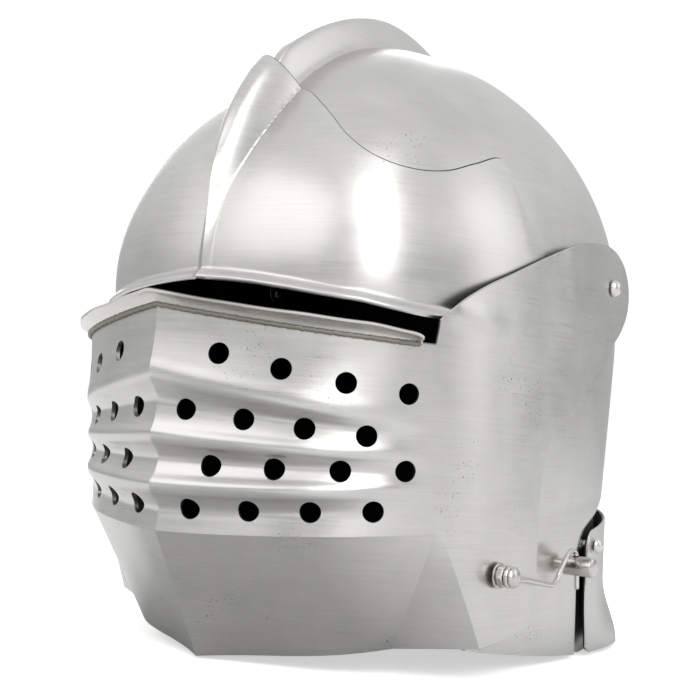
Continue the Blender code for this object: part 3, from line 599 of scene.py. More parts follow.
@dataclass(frozen=True)
class TannedLeather:
    """Vegetable-tanned cowhide, grain side in: small pebbled grain, waxed to a soft gloss."""

    name: str = "leather_vegetable_tanned"
    tone: str = "6A4528"
    shadow: str = "3E2716"
    pebble_mm: float = 1.3

    def build(self) -> bpy.types.Material:
        """Make the material: cell edges for the pebbled grain, a noise for the tan."""
        material = bpy.data.materials.new(self.name)
        material.use_nodes = True
        tree = material.node_tree
        shader = tree.nodes["Principled BSDF"]
        place = add_node(tree, "ShaderNodeTexCoord").outputs["Object"]
        cells = add_node(tree, "ShaderNodeTexVoronoi",
                         {"Vector": place, "Scale": 1 / (self.pebble_mm * MM)},
                         feature="DISTANCE_TO_EDGE").outputs[0]
        tan = add_node(tree, "ShaderNodeTexNoise",
                       {"Vector": place, "Scale": 1 / (14 * MM), "Detail": 5.0}).outputs[0]
        colour = add_node(tree, "ShaderNodeMix",
                          {0: tan, 6: linear(self.shadow), 7: linear(self.tone)},
                          data_type="RGBA").outputs[2]
        tree.links.new(colour, shader.inputs["Base Color"])
        gloss = add_node(tree, "ShaderNodeMapRange",
                         {"Value": tan, "To Min": 0.45, "To Max": 0.68}).outputs[0]
        tree.links.new(gloss, shader.inputs["Roughness"])
        relief = add_node(tree, "ShaderNodeBump", {"Height": cells, "Distance": 0.12 * MM})
        tree.links.new(relief.outputs[0], shader.inputs["Normal"])
        return material


class Finish(Enum):
    """The helmet's finishes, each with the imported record's slot that it belongs to."""

    SKULL = ("skull_steel", SatinSteel("steel_skull_satin"))
    BROW = ("brow_steel", SatinSteel("steel_brow_satin", tone="D6D5D2", pits=0.5))
    VISOR = ("visor_steel", SatinSteel("steel_visor_satin"))
    FLANGE = ("flange_steel", SatinSteel("steel_flange_brushed", tone="D4D2CE",
                                         roughness=0.26, wave_depth=0.05, pits=0.6))
    BRAZE = ("flange_steel", SatinSteel("braze_ground", tone="8F8A82", roughness=0.5,
                                        wave_mm=5.0, wave_depth=0.5, pit_mm=1.6, pits=3.0))
    # Painted shade, not a finish: dark steel put on inside faces and rims where shade falls.
    SCALE = ("skull_steel", SatinSteel("steel_painted_shade", tone="3F3E3D", roughness=0.55,
                                       pits=0.0))
    NAPE = ("nape_steel", SatinSteel("steel_nape_satin"))
    RIVET = ("rivet_steel", SatinSteel("steel_rivet_peened", tone="DDDCD8", roughness=0.24,
                                       wave_mm=2.6, wave_depth=0.10, pits=0.3))
    WASHER = ("washer_steel", SatinSteel("steel_washer_turned", tone="C9C7C2",
                                         roughness=0.3, grain=Grain.TURNED, wave_depth=0.02))
    LATCH = ("latch_steel", SatinSteel("steel_latch_turned", tone="CFCDC8", roughness=0.22,
                                       grain=Grain.TURNED, wave_depth=0.0, pits=0.4))
    WIRE = ("wire_steel", SatinSteel("steel_wire_drawn", tone="D8D6D2", roughness=0.22,
                                     wave_depth=0.0, pits=0.3))
    LINEN = ("linen", Cloth())
    LEATHER = ("leather", TannedLeather())

    def made(self) -> bpy.types.Material:
        """The finish's material, made on its first use."""
        return bpy.data.materials.get(self.value[1].name) or self.value[1].build()


def dress(item: bpy.types.Object, finish: Finish, body: str, *nodes: str) -> bpy.types.Object:
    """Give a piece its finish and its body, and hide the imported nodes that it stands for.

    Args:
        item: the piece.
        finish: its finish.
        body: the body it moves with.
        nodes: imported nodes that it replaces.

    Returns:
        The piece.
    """
    skins = item.data.materials
    painted_shade_faces = any(polygon.material_index for polygon in item.data.polygons)
    while len(skins) < 1 + painted_shade_faces:
        skins.append(None)
    skins[0] = finish.made()
    # Faces marked for painted shade take the dark painted-shade steel in the second slot.
    if painted_shade_faces:
        skins[1] = Finish.SCALE.made()
    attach(item, body)
    if nodes:
        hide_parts(*nodes)
    log.info("%s: %d faces on %s", item.name, len(item.data.polygons), body)
    return item


SIDES = ((1, "left"), (-1, "right"))
SKULL_BODY, VISOR_BODY, HOOK_BODY, NAPE_BODY = "skull_body", "visor_body", "hook_body", "nape_body"


# ---------------------------------------------------------------- the skull
@dataclass
class Bowl:
    """The skull's own form: a superellipse plan, a domed crown and a neck that narrows."""

    half_width: float = 97.0
    centre_y: float = -31.5
    centre_z: float = -1.0
    front: float = 124.5
    back: float = 134.0
    rise: float = 112.0
    front_power: float = 2.74
    back_power: float = 2.13
    rise_power: float = 1.86
    sheet: float = 1.6
    nape_pivot: tuple[float, float] = (1.0, -116.0)

    def width_at(self, z: Any) -> Array:
        """Half width at a height below the equator, read between given heights."""
        return np.interp(-np.asarray(z, float), [1.1, 30, 60, 95, 175],
                         [self.half_width, 96.8, 95.3, 93.2, 91.2])

    def back_at(self, z: Any) -> Array:
        """Reach of the back at a height below the equator.

        Args:
            z: heights below the equator, mm.

        Returns:
            Array of reaches behind the centre, mm.
        """
        depth = np.array([1.1, 25, 60, 95, 130, 175])
        reach = np.array([self.back, 136.0, 129.0, 122.0, 119.4, 118.0])
        fine = np.linspace(1.1, 175, 120)
        soft = np.interp(fine, depth, reach)
        soft = np.convolve(np.pad(soft, 8, mode="edge"), np.ones(17) / 17, mode="valid")
        return np.interp(-np.asarray(z, float), fine, soft)

    def low(self, angle: Array, z: Array, out: Any = 0.0) -> Array:
        """Outer face below the equator: the plan superellipse, sized to the height's reach.

        Args:
            angle: plan angles, 0 at the front.
            z: heights, mm.
            out: how far the face is moved outwards, mm.

        Returns:
            Array of points.
        """
        s, c = np.sin(angle), np.cos(angle)
        power = np.where(c > 0, self.front_power, self.back_power)
        reach = np.where(c > 0, self.front, self.back_at(z)) + out
        x = (self.width_at(z) + out) * np.sign(s) * np.abs(s) ** (2 / power)
        y = self.centre_y - reach * np.sign(c) * np.abs(c) ** (2 / power)
        return np.stack([x, y, z + 0 * x], -1)

    def high(self, angle: Array, share: Array, out: Any = 0.0) -> Array:
        """Outer face above the equator: the plan shrinks as the height superellipse closes.

        Args:
            angle: plan angles, 0 at the front.
            share: 0 at the equator, 1 at the crown.
            out: how far the face is moved outwards, mm.

        Returns:
            Array of points.
        """
        s, c = np.sin(angle), np.cos(angle)
        power = np.where(c > 0, self.front_power, self.back_power)
        reach = np.where(c > 0, self.front, self.back) + out
        shrink = np.cos(share * math.pi / 2) ** (2 / self.rise_power)
        x = (self.half_width + out) * np.sign(s) * np.abs(s) ** (2 / power) * shrink
        y = self.centre_y - reach * np.sign(c) * np.abs(c) ** (2 / power) * shrink
        z = self.centre_z + (self.rise + out) * np.sin(share * math.pi / 2) ** (
            2 / self.rise_power)
        return np.stack([x, y, z + 0 * x], -1)

    def at(self, angle: Array, z: Array, out: Any = 0.0) -> Array:
        """Outer face at a plan angle and any height: the high form above, the low one below.

        Args:
            angle: plan angles, 0 at the front.
            z: heights, mm.
            out: how far the face is moved outwards, mm.

        Returns:
            Array of points.
        """
        height = (np.asarray(z, float) - self.centre_z) / self.rise
        share = np.arcsin(np.clip(height, 0, 1) ** (self.rise_power / 2)) * 2 / math.pi
        upper = self.high(angle, share, out)
        lower = self.low(angle, np.minimum(z, self.centre_z), out)
        return np.where((height > 0)[..., None], upper, lower)

    def angle_of(self, x: Any, y: Any) -> Array:
        """Plan angle of a point of the equator: 0 at the front, 90 degrees at the left ear.

        Args:
            x: distance to the left, mm.
            y: distance to the back, mm.

        Returns:
            Array of plan angles.
        """
        ahead = np.asarray(y) < self.centre_y
        power = np.where(ahead, self.front_power, self.back_power)
        reach = np.where(ahead, self.front, self.back)
        s = (np.abs(x) / self.half_width) ** (power / 2)
        c = (np.abs(y - self.centre_y) / reach) ** (power / 2) * np.sign(self.centre_y - y)
        return np.arctan2(s, c)

    def side_x(self, y: float, z: float, out: float = 0.0) -> float:
        """X of the outer face at a side-view point below the equator.

        Args:
            y: distance to the back, mm.
            z: height, mm.
            out: how far the face is moved outwards, mm.

        Returns:
            X of the face, mm.
        """
        ahead = y < self.centre_y
        power = self.front_power if ahead else self.back_power
        reach = (self.front if ahead else float(self.back_at(z))) + out
        share = 1 - (abs(y - self.centre_y) / reach) ** power
        return (float(self.width_at(z)) + out) * share ** (1 / power)

    def half_angles(self, count: int, last: float = math.pi,
                    dense: Sequence[tuple[float, float, float]] = ()) -> Array:
        """Plan angles from the front to `last`, evenly spread along the plan's own length.

        Args:
            count: number of angles.
            last: the last angle.
            dense: spots with closer angles, as spread takes them.

        Returns:
            Array of angles.
        """
        fine = np.linspace(0, last, 6001)
        plan = self.low(fine, np.full_like(fine, self.centre_z))
        arc = np.r_[0, np.cumsum(np.linalg.norm(np.diff(plan, axis=0), axis=1))]
        spots = [(arc[-1] + at if at < 0 else at, width, extra) for at, width, extra in dense]
        return np.interp(spread(arc[-1], count, spots), arc, fine)


BOWL = Bowl()


@dataclass
class Skull:
    """The bowl with its comb, in one sheet, open at the face and joggled in at the nape."""

    comb_rise: float = 13.9
    comb_span: tuple[float, float, float, float] = (-136.0, -98.0, -42.0, 68.0)
    comb_crest: float = 1.5
    comb_foot: float = 7.6
    joggle: float = 3.4
    face_cut: tuple[tuple[float, float], ...] = (
        (-260, 9), (-158, 9), (-140, 3), (-118, -7), (-103, -14), (-97, -30), (-96, -60),
        (-99, -110), (-101, -143.0), (-93.5, -145.2), (-69, -151.0), (-40, -157.4),
        (-21, -161.2), (-3.5, -164.2), (-3.5, -230), (-260, -230))
    half_columns: int = 124
    low_rows: int = 78
    high_rows: int = 74

    def comb(self, points: Array) -> Array:
        """Lift the crown's midline into the comb.

        The lift is an eased plateau along the crown times an eased wall across it, and it
        stands along the dome's own normal at the midline.

        Args:
            points: points of the dome.

        Returns:
            The points, lifted.
        """
        x, y, z = points[..., 0], points[..., 1], points[..., 2]
        a, b, c, d = self.comb_span
        along = smooth(a, b, y) * (1 - smooth(c, d, y)) ** 0.8
        across = (1 - smooth(self.comb_crest, self.comb_foot, np.abs(x))) ** 1.15
        lift = np.where(z > BOWL.centre_z + 20, self.comb_rise * along * across, 0)
        tilt = np.clip((y - BOWL.centre_y) / BOWL.front, -1, 1) * 0.9
        return points + np.stack([0 * x, lift * np.sin(tilt), lift * np.cos(tilt)], -1)

    def under_lame(self, y: Array, z: Array) -> Array:
        """Share of the joggle: 1 within 16.5 mm of the nape lame's field, 0 past 19.5 mm."""
        corner = -124.0 + math.tan(math.radians(12.5)) * np.maximum(0, y - BOWL.nape_pivot[0])
        reach = np.hypot(np.minimum(y - 2.5, 0), np.maximum(z - corner, 0))
        return 1 - smooth(16.5, 19.5, reach)

    def face(self) -> Array:
        """Grid of the outer face, from the rim on the ground up to the crown."""
        half = BOWL.half_angles(self.half_columns, dense=((0, 12, 3.2), (-0.01, 14, 0.8)))
        angle = np.r_[half, (2 * math.pi - half[1:-1])[::-1]]
        lean = math.tan(HEAD.lean)
        floor = -HEAD.pivot[2] / MM / math.cos(HEAD.lean)
        foot = np.full_like(angle, -150.0)
        for _ in range(4):
            foot = floor - lean * BOWL.low(angle, foot, -self.joggle)[..., 1]
        share = spread(1.0, self.low_rows, ((0.42, 0.10, 2.2),))[:, None]
        z = foot + (BOWL.centre_z - foot) * share
        ring = BOWL.low(angle, z)
        sunk = BOWL.low(angle, z, -self.joggle)
        sink = self.under_lame(ring[..., 1], ring[..., 2])[..., None]
        low = ring * (1 - sink) + sunk * sink
        share = 1 - (1 - np.linspace(0, 1, self.high_rows + 2)[1:-1]) ** 1.12
        high = self.comb(BOWL.high(angle, share[:, None] + 0 * angle))
        crown = self.comb(BOWL.high(angle, np.full((1, len(angle)), 0.99995)))
        return np.concatenate([low, high, crown])

    def build(self) -> bpy.types.Object:
        """Make the sheet, open its face and drill it."""
        outer = self.face()
        inner = outer - self.outward(outer) * BOWL.sheet
        inner[0, :, 2] += (outer[0, :, 2] - inner[0, :, 2]) + math.tan(HEAD.lean) * (
            outer[0, :, 1] - inner[0, :, 1])
        item = plate("skull_shell", outer, inner, wrap=True, crown=True, round_rim=0.0)
        outline = np.array(self.face_cut)
        count = len(outline)
        sides = np.concatenate([np.c_[np.full(count, s * 150.0), outline] for s in (-1, 1)])
        ring = np.arange(count)
        wall = np.stack([ring, (ring + 1) % count, count + (ring + 1) % count, count + ring], -1)
        opening = make_object("face_opening", sides,
                              [list(ring), list(ring[::-1] + count), *wall.tolist()])
        y, z = BOWL.nape_pivot
        pins = drills("skull_drill", [(90, 0, 0), (-90, 0, 0)], [(1, 0, 0)] * 2, PIVOT_HOLE, 16)
        lame_pins = drills("lame_drill", [(86, y, z), (-86, y, z)], [(1, 0, 0)] * 2, NAPE_HOLE, 16)
        return dress(drilled(item, [opening, pins, lame_pins]), Finish.SKULL, SKULL_BODY,
                     "skull")

    def outward(self, grid: Array) -> Array:
        """Normals of the face, turned outwards.

        Args:
            grid: rows x columns x 3 points.

        Returns:
            Array of unit directions.
        """
        normal = normals_of(grid, wrap=True)
        middle = np.array([0.0, BOWL.centre_y, -20.0])
        if np.sum(normal * (grid - middle)) < 0:
            normal = -normal
        normal[-1] = [0.0, 0.0, 1.0]
        return normal


# ---------------------------------------------------------------- the brow plate
@dataclass
class BrowPlate:
    """Cusped reinforcing plate over the brow, with a pinched ridge and a flared lower rim."""

    sheet: float = 1.2
    stand: float = 2.1                # outer face above the skull
    edge: tuple[tuple[float, float, float], ...] = (
        (0, -113.5, 82.5), (16, -113.5, 80.0), (28.3, -120.1, 72.8), (35.6, -123.3, 67.3),
        (46.9, -127.0, 57.5), (58.6, -126.1, 49.4), (66.9, -120.9, 45.4), (73.6, -113.3, 43.6),
        (78.3, -104.1, 44.0), (82.5, -88.8, 47.8), (84.9, -69.5, 51.2), (87.6, -67.5, 44),
        (91.0, -66.0, 35), (94.2, -61.5, 25), (96.4, -57, 15), (97.6, -54, 4), (97.9, -54, -8))
    rim: tuple[tuple[float, float], ...] = (
        (0, 3.4), (13, 2.5), (25, 1.2), (39, -1.0), (63, -5.6), (74, -9.3), (83, -12.3),
        (90, -14.0), (95, -14.0))
    ridge_heights: tuple[float, ...] = (5, 22, 30, 38, 48, 62, 78, 96)
    ridge_widths: tuple[float, ...] = (3.4, 3.2, 3.6, 5.0, 7.4, 10.2, 12.2, 13.5)
    ridge_stands: tuple[float, ...] = (1.6, 2.6, 4.0, 6.4, 8.8, 12.2, 15.6, 17.2)
    flare: float = 3.2
    half_columns: int = 150
    rows: int = 96

    def ridge(self, x: Array, z: Array) -> Array:
        """Height of the ridge: a half ellipse across, with a crisp foot and a rounded crest.

        Args:
            x: distance from the midline, mm.
            z: height, mm.

        Returns:
            Array of heights above the plate.
        """
        width = np.interp(z, self.ridge_heights, self.ridge_widths)
        stand = np.interp(z, self.ridge_heights, self.ridge_stands)
        r = np.clip(np.abs(x) / width, 0, 1)
        round_form = np.cos(math.pi / 2 * r) ** 0.9
        keel_form = (1 - r) ** 1.15
        sharp = 1 - smooth(34, 62, z)
        return stand * (round_form * (1 - sharp) + keel_form * sharp)

    def face(self) -> tuple[Array, Array]:
        """Grids of the outer and inner faces."""
        last = float(BOWL.angle_of(97.2, -58.0))
        half = BOWL.half_angles(self.half_columns, last, ((0, 13, 5.0), (-0.01, 14, 3.5)))
        angle = np.r_[-half[:0:-1], half]
        edge = np.array(self.edge, float)
        around = BOWL.angle_of(edge[:, 0], edge[:, 1])
        lifts = curve_through(np.c_[around * 60, edge[:, 2]], np.linspace(0, 1, 600))
        top = np.interp(np.abs(angle), lifts[:, 0] / 60, lifts[:, 1])
        x_rim = BOWL.half_width * np.abs(np.sin(angle)) ** (2 / BOWL.front_power)
        rim = np.array(self.rim)
        bottom = np.interp(x_rim, rim[:, 0], rim[:, 1])
        share = spread(1.0, self.rows, ((0, 0.05, 2.0), (1, 0.03, 3.0)))[:, None]
        z = bottom + (top - bottom) * share
        angles = np.broadcast_to(angle, z.shape)
        stand = self.stand - 1.1 * smooth(0.45, 1.0, share) + 0 * z
        ring = BOWL.at(angles, z, stand)
        normal = np.stack([ring[..., 0] / 98, (ring[..., 1] - BOWL.centre_y) / 123,
                           (ring[..., 2] - BOWL.centre_z) / 112], -1)
        normal /= np.linalg.norm(normal, axis=2, keepdims=True)
        lip = self.flare * (1 - smooth(0.0, 4.2, z - bottom)) ** 1.3
        lip = lip * (1 - smooth(-120, -104, ring[..., 1]))
        outer = ring + normal * (self.ridge(ring[..., 0], z) + lip)[..., None]
        thick = np.minimum(self.sheet, stand - 0.06)
        wall = normals_of(outer)
        wall *= np.sign(np.sum(wall * normal))
        return outer, outer - wall * thick[..., None]

    def build(self) -> bpy.types.Object:
        """Make the plate."""
        outer, inner = self.face()
        # The rim is painted dark as a shade line, except along the first row.
        item = plate("brow_shell", outer, inner, round_rim=0.8, painted_shade_rim=True)
        return dress(item, Finish.BROW, SKULL_BODY, "brow_plate")


# ---------------------------------------------------------------- the visor
@dataclass
class Visor:
    """Bellows face, arms and ear plates in one sheet, with four rows of drilled vents."""

    sheet: float = 1.6
    plan: tuple[tuple[float, float], ...] = (
        (0, -184), (12.1, -181.3), (34, -173), (53.4, -163), (68, -152.8), (80, -141.5),
        (88, -129.5), (94, -114), (98, -92), (100.8, -65), (102.2, -42), (101.7, -20),
        (100.9, 0), (99.9, 20))
    # Height at the keel, drop for each mm of width, how far the row stands out.
    folds: tuple[tuple[float, float, float], ...] = (
        (-7.5, -0.17, 0.0), (-14.0, -0.18, 0.5), (-20.0, -0.19, 1.5), (-26.5, -0.20, 3.0),
        (-31.8, -0.20, 4.4), (-34.2, -0.20, 4.4), (-37.6, -0.19, 2.3), (-42.0, -0.16, 0.2),
        (-46.5, -0.13, 0.7), (-51.0, -0.10, 1.9), (-55.5, -0.082, 4.0), (-57.6, -0.078, 3.8),
        (-60.6, -0.065, 1.6), (-64.5, -0.05, -0.3), (-69.5, -0.03, 1.5), (-74.4, -0.012, 4.7),
        (-76.6, -0.01, 4.4), (-79.8, -0.005, 1.9), (-83.8, 0.0, -0.3), (-88.0, 0.0, 0.5),
        (-92.3, 0.0, 1.6))
    fade: tuple[float, float] = (46.0, 106.0)
    dart_arc: float = 108.5
    bulge: float = 7.0
    chin_keel: tuple[float, float, float] = (0.0, -163.3, -144.6)
    valley: tuple[float, float, float] = (65.6, -123.5, -140.3)
    ridge: tuple[float, float] = (-108.4, -139.2)
    arm_top: tuple[tuple[float, float], ...] = (
        (-120.7, -8.5), (-108.4, -2.6), (-85, 5.0), (-59.5, 12.4), (-44.3, 16.3), (-31, 18.9),
        (-18.3, 19.4))
    ear_edge: tuple[tuple[float, float], ...] = (
        (-18.3, 19.4), (-5.5, 18.6), (6.0, 15.2), (14.5, 9.5), (18.9, 2.5), (19.8, -4.5),
        (17.4, -12.0), (10.8, -18.9), (1.5, -25.0), (-11.5, -33.8), (-29.5, -43.0),
        (-46.7, -53.6), (-60.5, -63.0), (-66.0, -73.5), (-69.0, -90.0), (-70.5, -106.0),
        (-72.0, -120.0), (-76.0, -135.5))
    vent_radius: float = 4.0
    # Arc of a row's first vent, its pitch, height at the keel, drop for each mm of width.
    vents: tuple[tuple[float, float, float, float], ...] = (
        (26.0, 23.4, -19.0, -0.26), (12.5, 22.6, -44.5, -0.155),
        (22.3, 24.2, -66.4, -0.03), (13.7, 23.0, -83.4, 0.0))
    bolt: tuple[float, float] = (-98.5, -112.2)
    front_columns: int = 92
    facet_columns: int = 14
    side_columns: int = 60
    fold_rows: int = 104
    chin_rows: int = 30
    _table: list[Array] = field(default_factory=list)

    def table(self) -> tuple[Array, Array]:
        """The plan as a dense curve: its arc length and its X, Y points."""
        if not self._table:
            points = curve_through(self.plan, np.linspace(0, 1, 1801))
            step = np.linalg.norm(np.diff(points, axis=0), axis=1)
            self._table.extend([np.r_[0, np.cumsum(step)], points])
        return self._table[0], self._table[1]

    def on_plan(self, arc: Any) -> Array:
        """X, Y of the plan at an arc length from the keel."""
        table, points = self.table()
        return np.stack([np.interp(arc, table, points[:, k]) for k in (0, 1)], -1)

    def plan_normal(self, arc: Any) -> Array:
        """Outward X, Y normal of the plan: its tangent turned a quarter.

        Args:
            arc: arc lengths from the keel, mm.

        Returns:
            Array of X, Y directions.
        """
        arc = np.asarray(arc, float)
        ahead = self.on_plan(arc + 0.6) - self.on_plan(np.maximum(arc - 0.6, 0))
        ahead = np.where((arc < 0.7)[..., None], [1.0, 0.0], ahead)
        normal = np.stack([ahead[..., 1], -ahead[..., 0]], -1)
        return normal / np.linalg.norm(normal, axis=-1, keepdims=True)

    def arc_at(self, y: Any) -> Array:
        """Arc length of the plan at a Y of the side."""
        table, points = self.table()
        return np.interp(y, points[:, 1], table)

    def column(self, arc: Any, rows: Array) -> Array:
        """Points of the bellows: the plan moved out along its normal by each fold's stand.

        Args:
            arc: arc lengths from the keel, mm.
            rows: shares from the seam down to the last fold.

        Returns:
            Array of rows x columns x 3 points.
        """
        arc = np.atleast_1d(np.asarray(arc, float))
        fold = curve_through(self.folds, rows)
        height, drop, stand = fold[:, 0:1], fold[:, 1:2], fold[:, 2:3]
        plan, normal = self.on_plan(arc), self.plan_normal(arc)
        fading = 1 - smooth(*self.fade, arc)
        out = stand * fading[None]
        return np.stack([plan[:, 0] + normal[:, 0] * out, plan[:, 1] + normal[:, 1] * out,
                         height + drop * plan[:, 0]], -1)

    def half(self) -> Array:
        """Grid of the wearer's left half, from the keel to the rear edge.

        The front is the bellows and a ruled chin below them; the dart is a flat facet between
        its valley and its ridge; the side is a patch blended from its four edges, whose X is
        read from the plan.
        """
        rows = np.linspace(0, 1, self.fold_rows)
        ruled = np.linspace(0, 1, self.chin_rows + 1)[1:, None, None]
        arcs = spread(self.dart_arc - 1.0, self.front_columns, ((0, 8, 1.2),))
        front = self.column(arcs, rows)
        share = (arcs / arcs[-1])[:, None]
        keel, valley = np.array(self.chin_keel), np.array(self.valley)
        foot = keel + (valley - keel) * share + self.bulge * np.sin(
            math.pi * share ** 1.8) * np.array([0.35, -0.94, 0.0])
        front = np.concatenate([front, front[-1] + (foot - front[-1]) * ruled])

        edge = self.column(self.dart_arc + 1.0, rows)[:, 0]
        low = np.array([0.0, *self.ridge])
        left = np.concatenate([edge, edge[-1] + (low - edge[-1]) * ruled[:, 0]])[:, 1:]
        left[0, 1] = -13.6
        lead = np.arange(12)
        left[:12, 1] = left[0, 1] + (left[12, 1] - left[0, 1]) * lead / 12
        down = np.r_[0, np.cumsum(np.linalg.norm(np.diff(left, axis=0), axis=1))]
        down = (down / down[-1])[:, None, None]
        along = np.linspace(0, 1, self.side_columns)[None, :, None]
        rear = curve_through(self.ear_edge, down[:, 0, 0] ** 0.92)[:, None]
        left = left[:, None]
        top = curve_through([tuple(left[0, 0]), *self.arm_top], along[0, :, 0])[None]
        foot = curve_through([self.ridge, (-97.4, -138.6), self.ear_edge[-1]],
                             along[0, :, 0])[None]
        blend = (1 - along) * left + along * rear + (1 - down) * top + down * foot
        blend = blend - ((1 - down) * ((1 - along) * left[0] + along * rear[0])
                         + down * ((1 - along) * left[-1] + along * rear[-1]))
        x = self.on_plan(self.arc_at(blend[..., 0]))[..., 0]
        x = x + self.side_form(blend[..., 0], blend[..., 1])
        side = np.concatenate([x[..., None], blend], -1)
        between = np.linspace(0, 1, self.facet_columns + 2)[None, 1:-1, None]
        facet = front[:, -1:] + (side[:, :1] - front[:, -1:]) * between
        return np.concatenate([front, facet, side], 1)

    def side_form(self, y: Array, z: Array) -> Array:
        """Small forms of the side: a pleat behind the sight's corner and the ear's soft fold.

        Args:
            y: distance to the back, mm.
            z: height, mm.

        Returns:
            Array of distances outwards, mm.
        """
        line = -9.5 - 0.16 * (y + 124)
        pleat = 1.1 * bump(0, 4.2, z - line) * smooth(-126, -119, y) * (1 - smooth(-108, -88, y))
        fold = -37.0 - 0.2 * (z + 15)
        ear = 0.55 * bump(0, 7.0, y - fold) * (1 - smooth(-60, -44, -z - 60))
        return pleat + ear

    def build(self) -> bpy.types.Object:
        """Make the sheet from its two halves and drill its vents, pivots and bolt hole."""
        half = self.half()
        outer = np.concatenate([half[:, :0:-1] * [-1, 1, 1], half], 1)
        wall = normals_of(outer)
        middle = half.shape[1] - 1
        wall[:, middle, 0] = 0
        wall /= np.linalg.norm(wall, axis=2, keepdims=True)
        wall *= np.sign(np.sum(wall * (outer - [0, -60, -60])))
        # The rim is painted dark as a shade line, except along the first row.
        item = plate("visor_shell", outer, outer - wall * self.sheet, sharp=24.0, painted_shade_rim=True)
        places, ways = [], []
        for first, pitch, height, drop in self.vents:
            arc = first + pitch * np.arange(4)
            plan, normal = self.on_plan(arc), self.plan_normal(arc)
            for side, _ in SIDES:
                places += np.c_[plan[:, 0] * side, plan[:, 1], height + drop * plan[:, 0]].tolist()
                ways += np.c_[normal[:, 0] * side, normal[:, 1], 0 * arc].tolist()
        holes = drills("vent_drill", places, ways, self.vent_radius, 11.0)
        pins = drills("ear_drill", [(100, 0, 0), (-100, 0, 0)], [(1, 0, 0)] * 2, PIVOT_HOLE, 10)
        bolt = drills("bolt_drill", [(97, *self.bolt)], [(1, 0, 0)], BOLT_HOLE, 10)
        return dress(drilled(item, [holes, pins, bolt], 24.0), Finish.VISOR, VISOR_BODY, "visor")


VISOR = Visor()


@dataclass
class SightFlange:
    """The flared strip brazed along the visor's upper edge, with its ground braze seam."""

    reach: float = 101.5
    sheet: float = 1.4
    # How far out and up the strip's middle runs, from its root to its rim.
    profile: tuple[tuple[float, float], ...] = (
        (0.3, 1.6), (1.1, 3.2), (2.7, 4.9), (4.6, 6.2))
    tip: float = 6.0

    def middle(self, arcs: Array, shares: Array) -> Array:
        """Middle surface: the profile carried along the plan, shortened to round its tips.

        Args:
            arcs: arc lengths from the keel, negative on the right.
            shares: 0 at the root, 1 at the rim.

        Returns:
            Array of rows x columns x 3 points.
        """
        a = np.abs(arcs)
        plan, normal = VISOR.on_plan(a), VISOR.plan_normal(a)
        form = curve_through(self.profile, shares)
        left = np.clip((self.reach - a) / self.tip, 0, 1)
        trim = 0.25 + 0.75 * np.sqrt(np.clip(1 - (1 - left) ** 2, 0, 1))
        root = form[:1]
        out, up = [(root[:, k] + (form[:, k:k + 1] - root[:, k]) * trim) for k in (0, 1)]
        up = up * (1.0 - 0.30 * smooth(80, self.reach, a))
        wobble = 0.22 * np.sin(arcs / 9.0 + 1.3) + 0.12 * np.sin(arcs / 4.1)
        rim = shares[:, None] ** 2
        side = np.where(arcs < 0, -1, 1)
        return np.stack([side * (plan[:, 0] + normal[:, 0] * (out + wobble * rim)),
                         plan[:, 1] + normal[:, 1] * (out + wobble * rim),
                         -8.15 - 0.17 * plan[:, 0] + up + wobble * rim * 0.6], -1)

    def build(self) -> list[bpy.types.Object]:
        """Make the strip and the braze bead along its root."""
        half = spread(self.reach, 130, ((self.reach, 5, 3.0),))
        arcs = np.r_[-half[:0:-1], half]
        middle = self.middle(arcs, np.linspace(0, 1, 16))
        wall = normals_of(middle) * self.sheet / 2
        strip = plate("sight_flange_strip", middle + wall, middle - wall, round_rim=0.42)
        run = np.linspace(-self.reach + 1.5, self.reach - 1.5, 420)
        root = self.middle(run, np.array([0.0]))[0]
        way = VISOR.plan_normal(np.abs(run)) * 0.55
        rough = 0.16 * np.sin(run * 1.9) * np.sin(run * 0.53) + 0.1 * np.sin(run * 3.7 + 1)
        root[:, 0] += way[:, 0] * np.where(run < 0, -1, 1)
        root[:, 1] += way[:, 1]
        root[:, 2] += -0.75 + rough
        bead = tube("sight_braze_seam", root, 0.95, 14)
        return [dress(strip, Finish.FLANGE, VISOR_BODY, "sight_flange"),
                dress(bead, Finish.BRAZE, VISOR_BODY)]


# ---------------------------------------------------------------- the nape lame
@dataclass
class NapeLame:
    """Neck plate that swings on one rivet each side, flared along its lower edge."""

    sheet: float = 1.6
    stand: float = 2.2
    first: float = 99.5
    top: float = -109.0
    flare: float = 7.0
    ground_gap: float = 1.4

    def build(self) -> bpy.types.Object:
        """Make the lame: the bowl's form stood off the skull, its corners rounded by a quarter
        ellipse, its lower edge eased outwards."""
        half = np.radians(spread(180 - self.first, 110, ((0, 6, 3.5),)) + self.first)
        angle = np.r_[half, (2 * math.pi - half[:-1])[::-1]]
        y = BOWL.low(angle, np.full_like(angle, -130.0))[:, 1]
        inset = np.maximum(0, 7.0 - (y - y[0]))
        corner = 9.0 * (1 - np.sqrt(np.clip(1 - (inset / 7.4) ** 2, 0, 1)))
        low = -HEAD.pivot[2] / MM / math.cos(HEAD.lean) - math.tan(HEAD.lean) * y \
            + self.ground_gap + 0.45 * corner
        top = self.top - corner
        share = np.linspace(0, 1, 56)[:, None]
        z = top + (low - top) * share
        angles = np.broadcast_to(angle, z.shape)
        out = self.stand + self.flare * smooth(0.45, 1.0, share) ** 1.2 * (
            0.1 + 0.9 * smooth(2, 45, y - y[0]))
        outer = BOWL.low(angles, z, out)
        wall = normals_of(outer)
        wall *= np.sign(np.sum(wall * (outer - [0, -20, -130])))
        item = plate("nape_shell", outer, outer - wall * self.sheet)
        y, z = BOWL.nape_pivot
        pins = drills("nape_drill", [(90, y, z), (-90, y, z)], [(1, 0, 0)] * 2, NAPE_HOLE, 12)
        return dress(drilled(item, [pins]), Finish.NAPE, NAPE_BODY, "nape_lame")


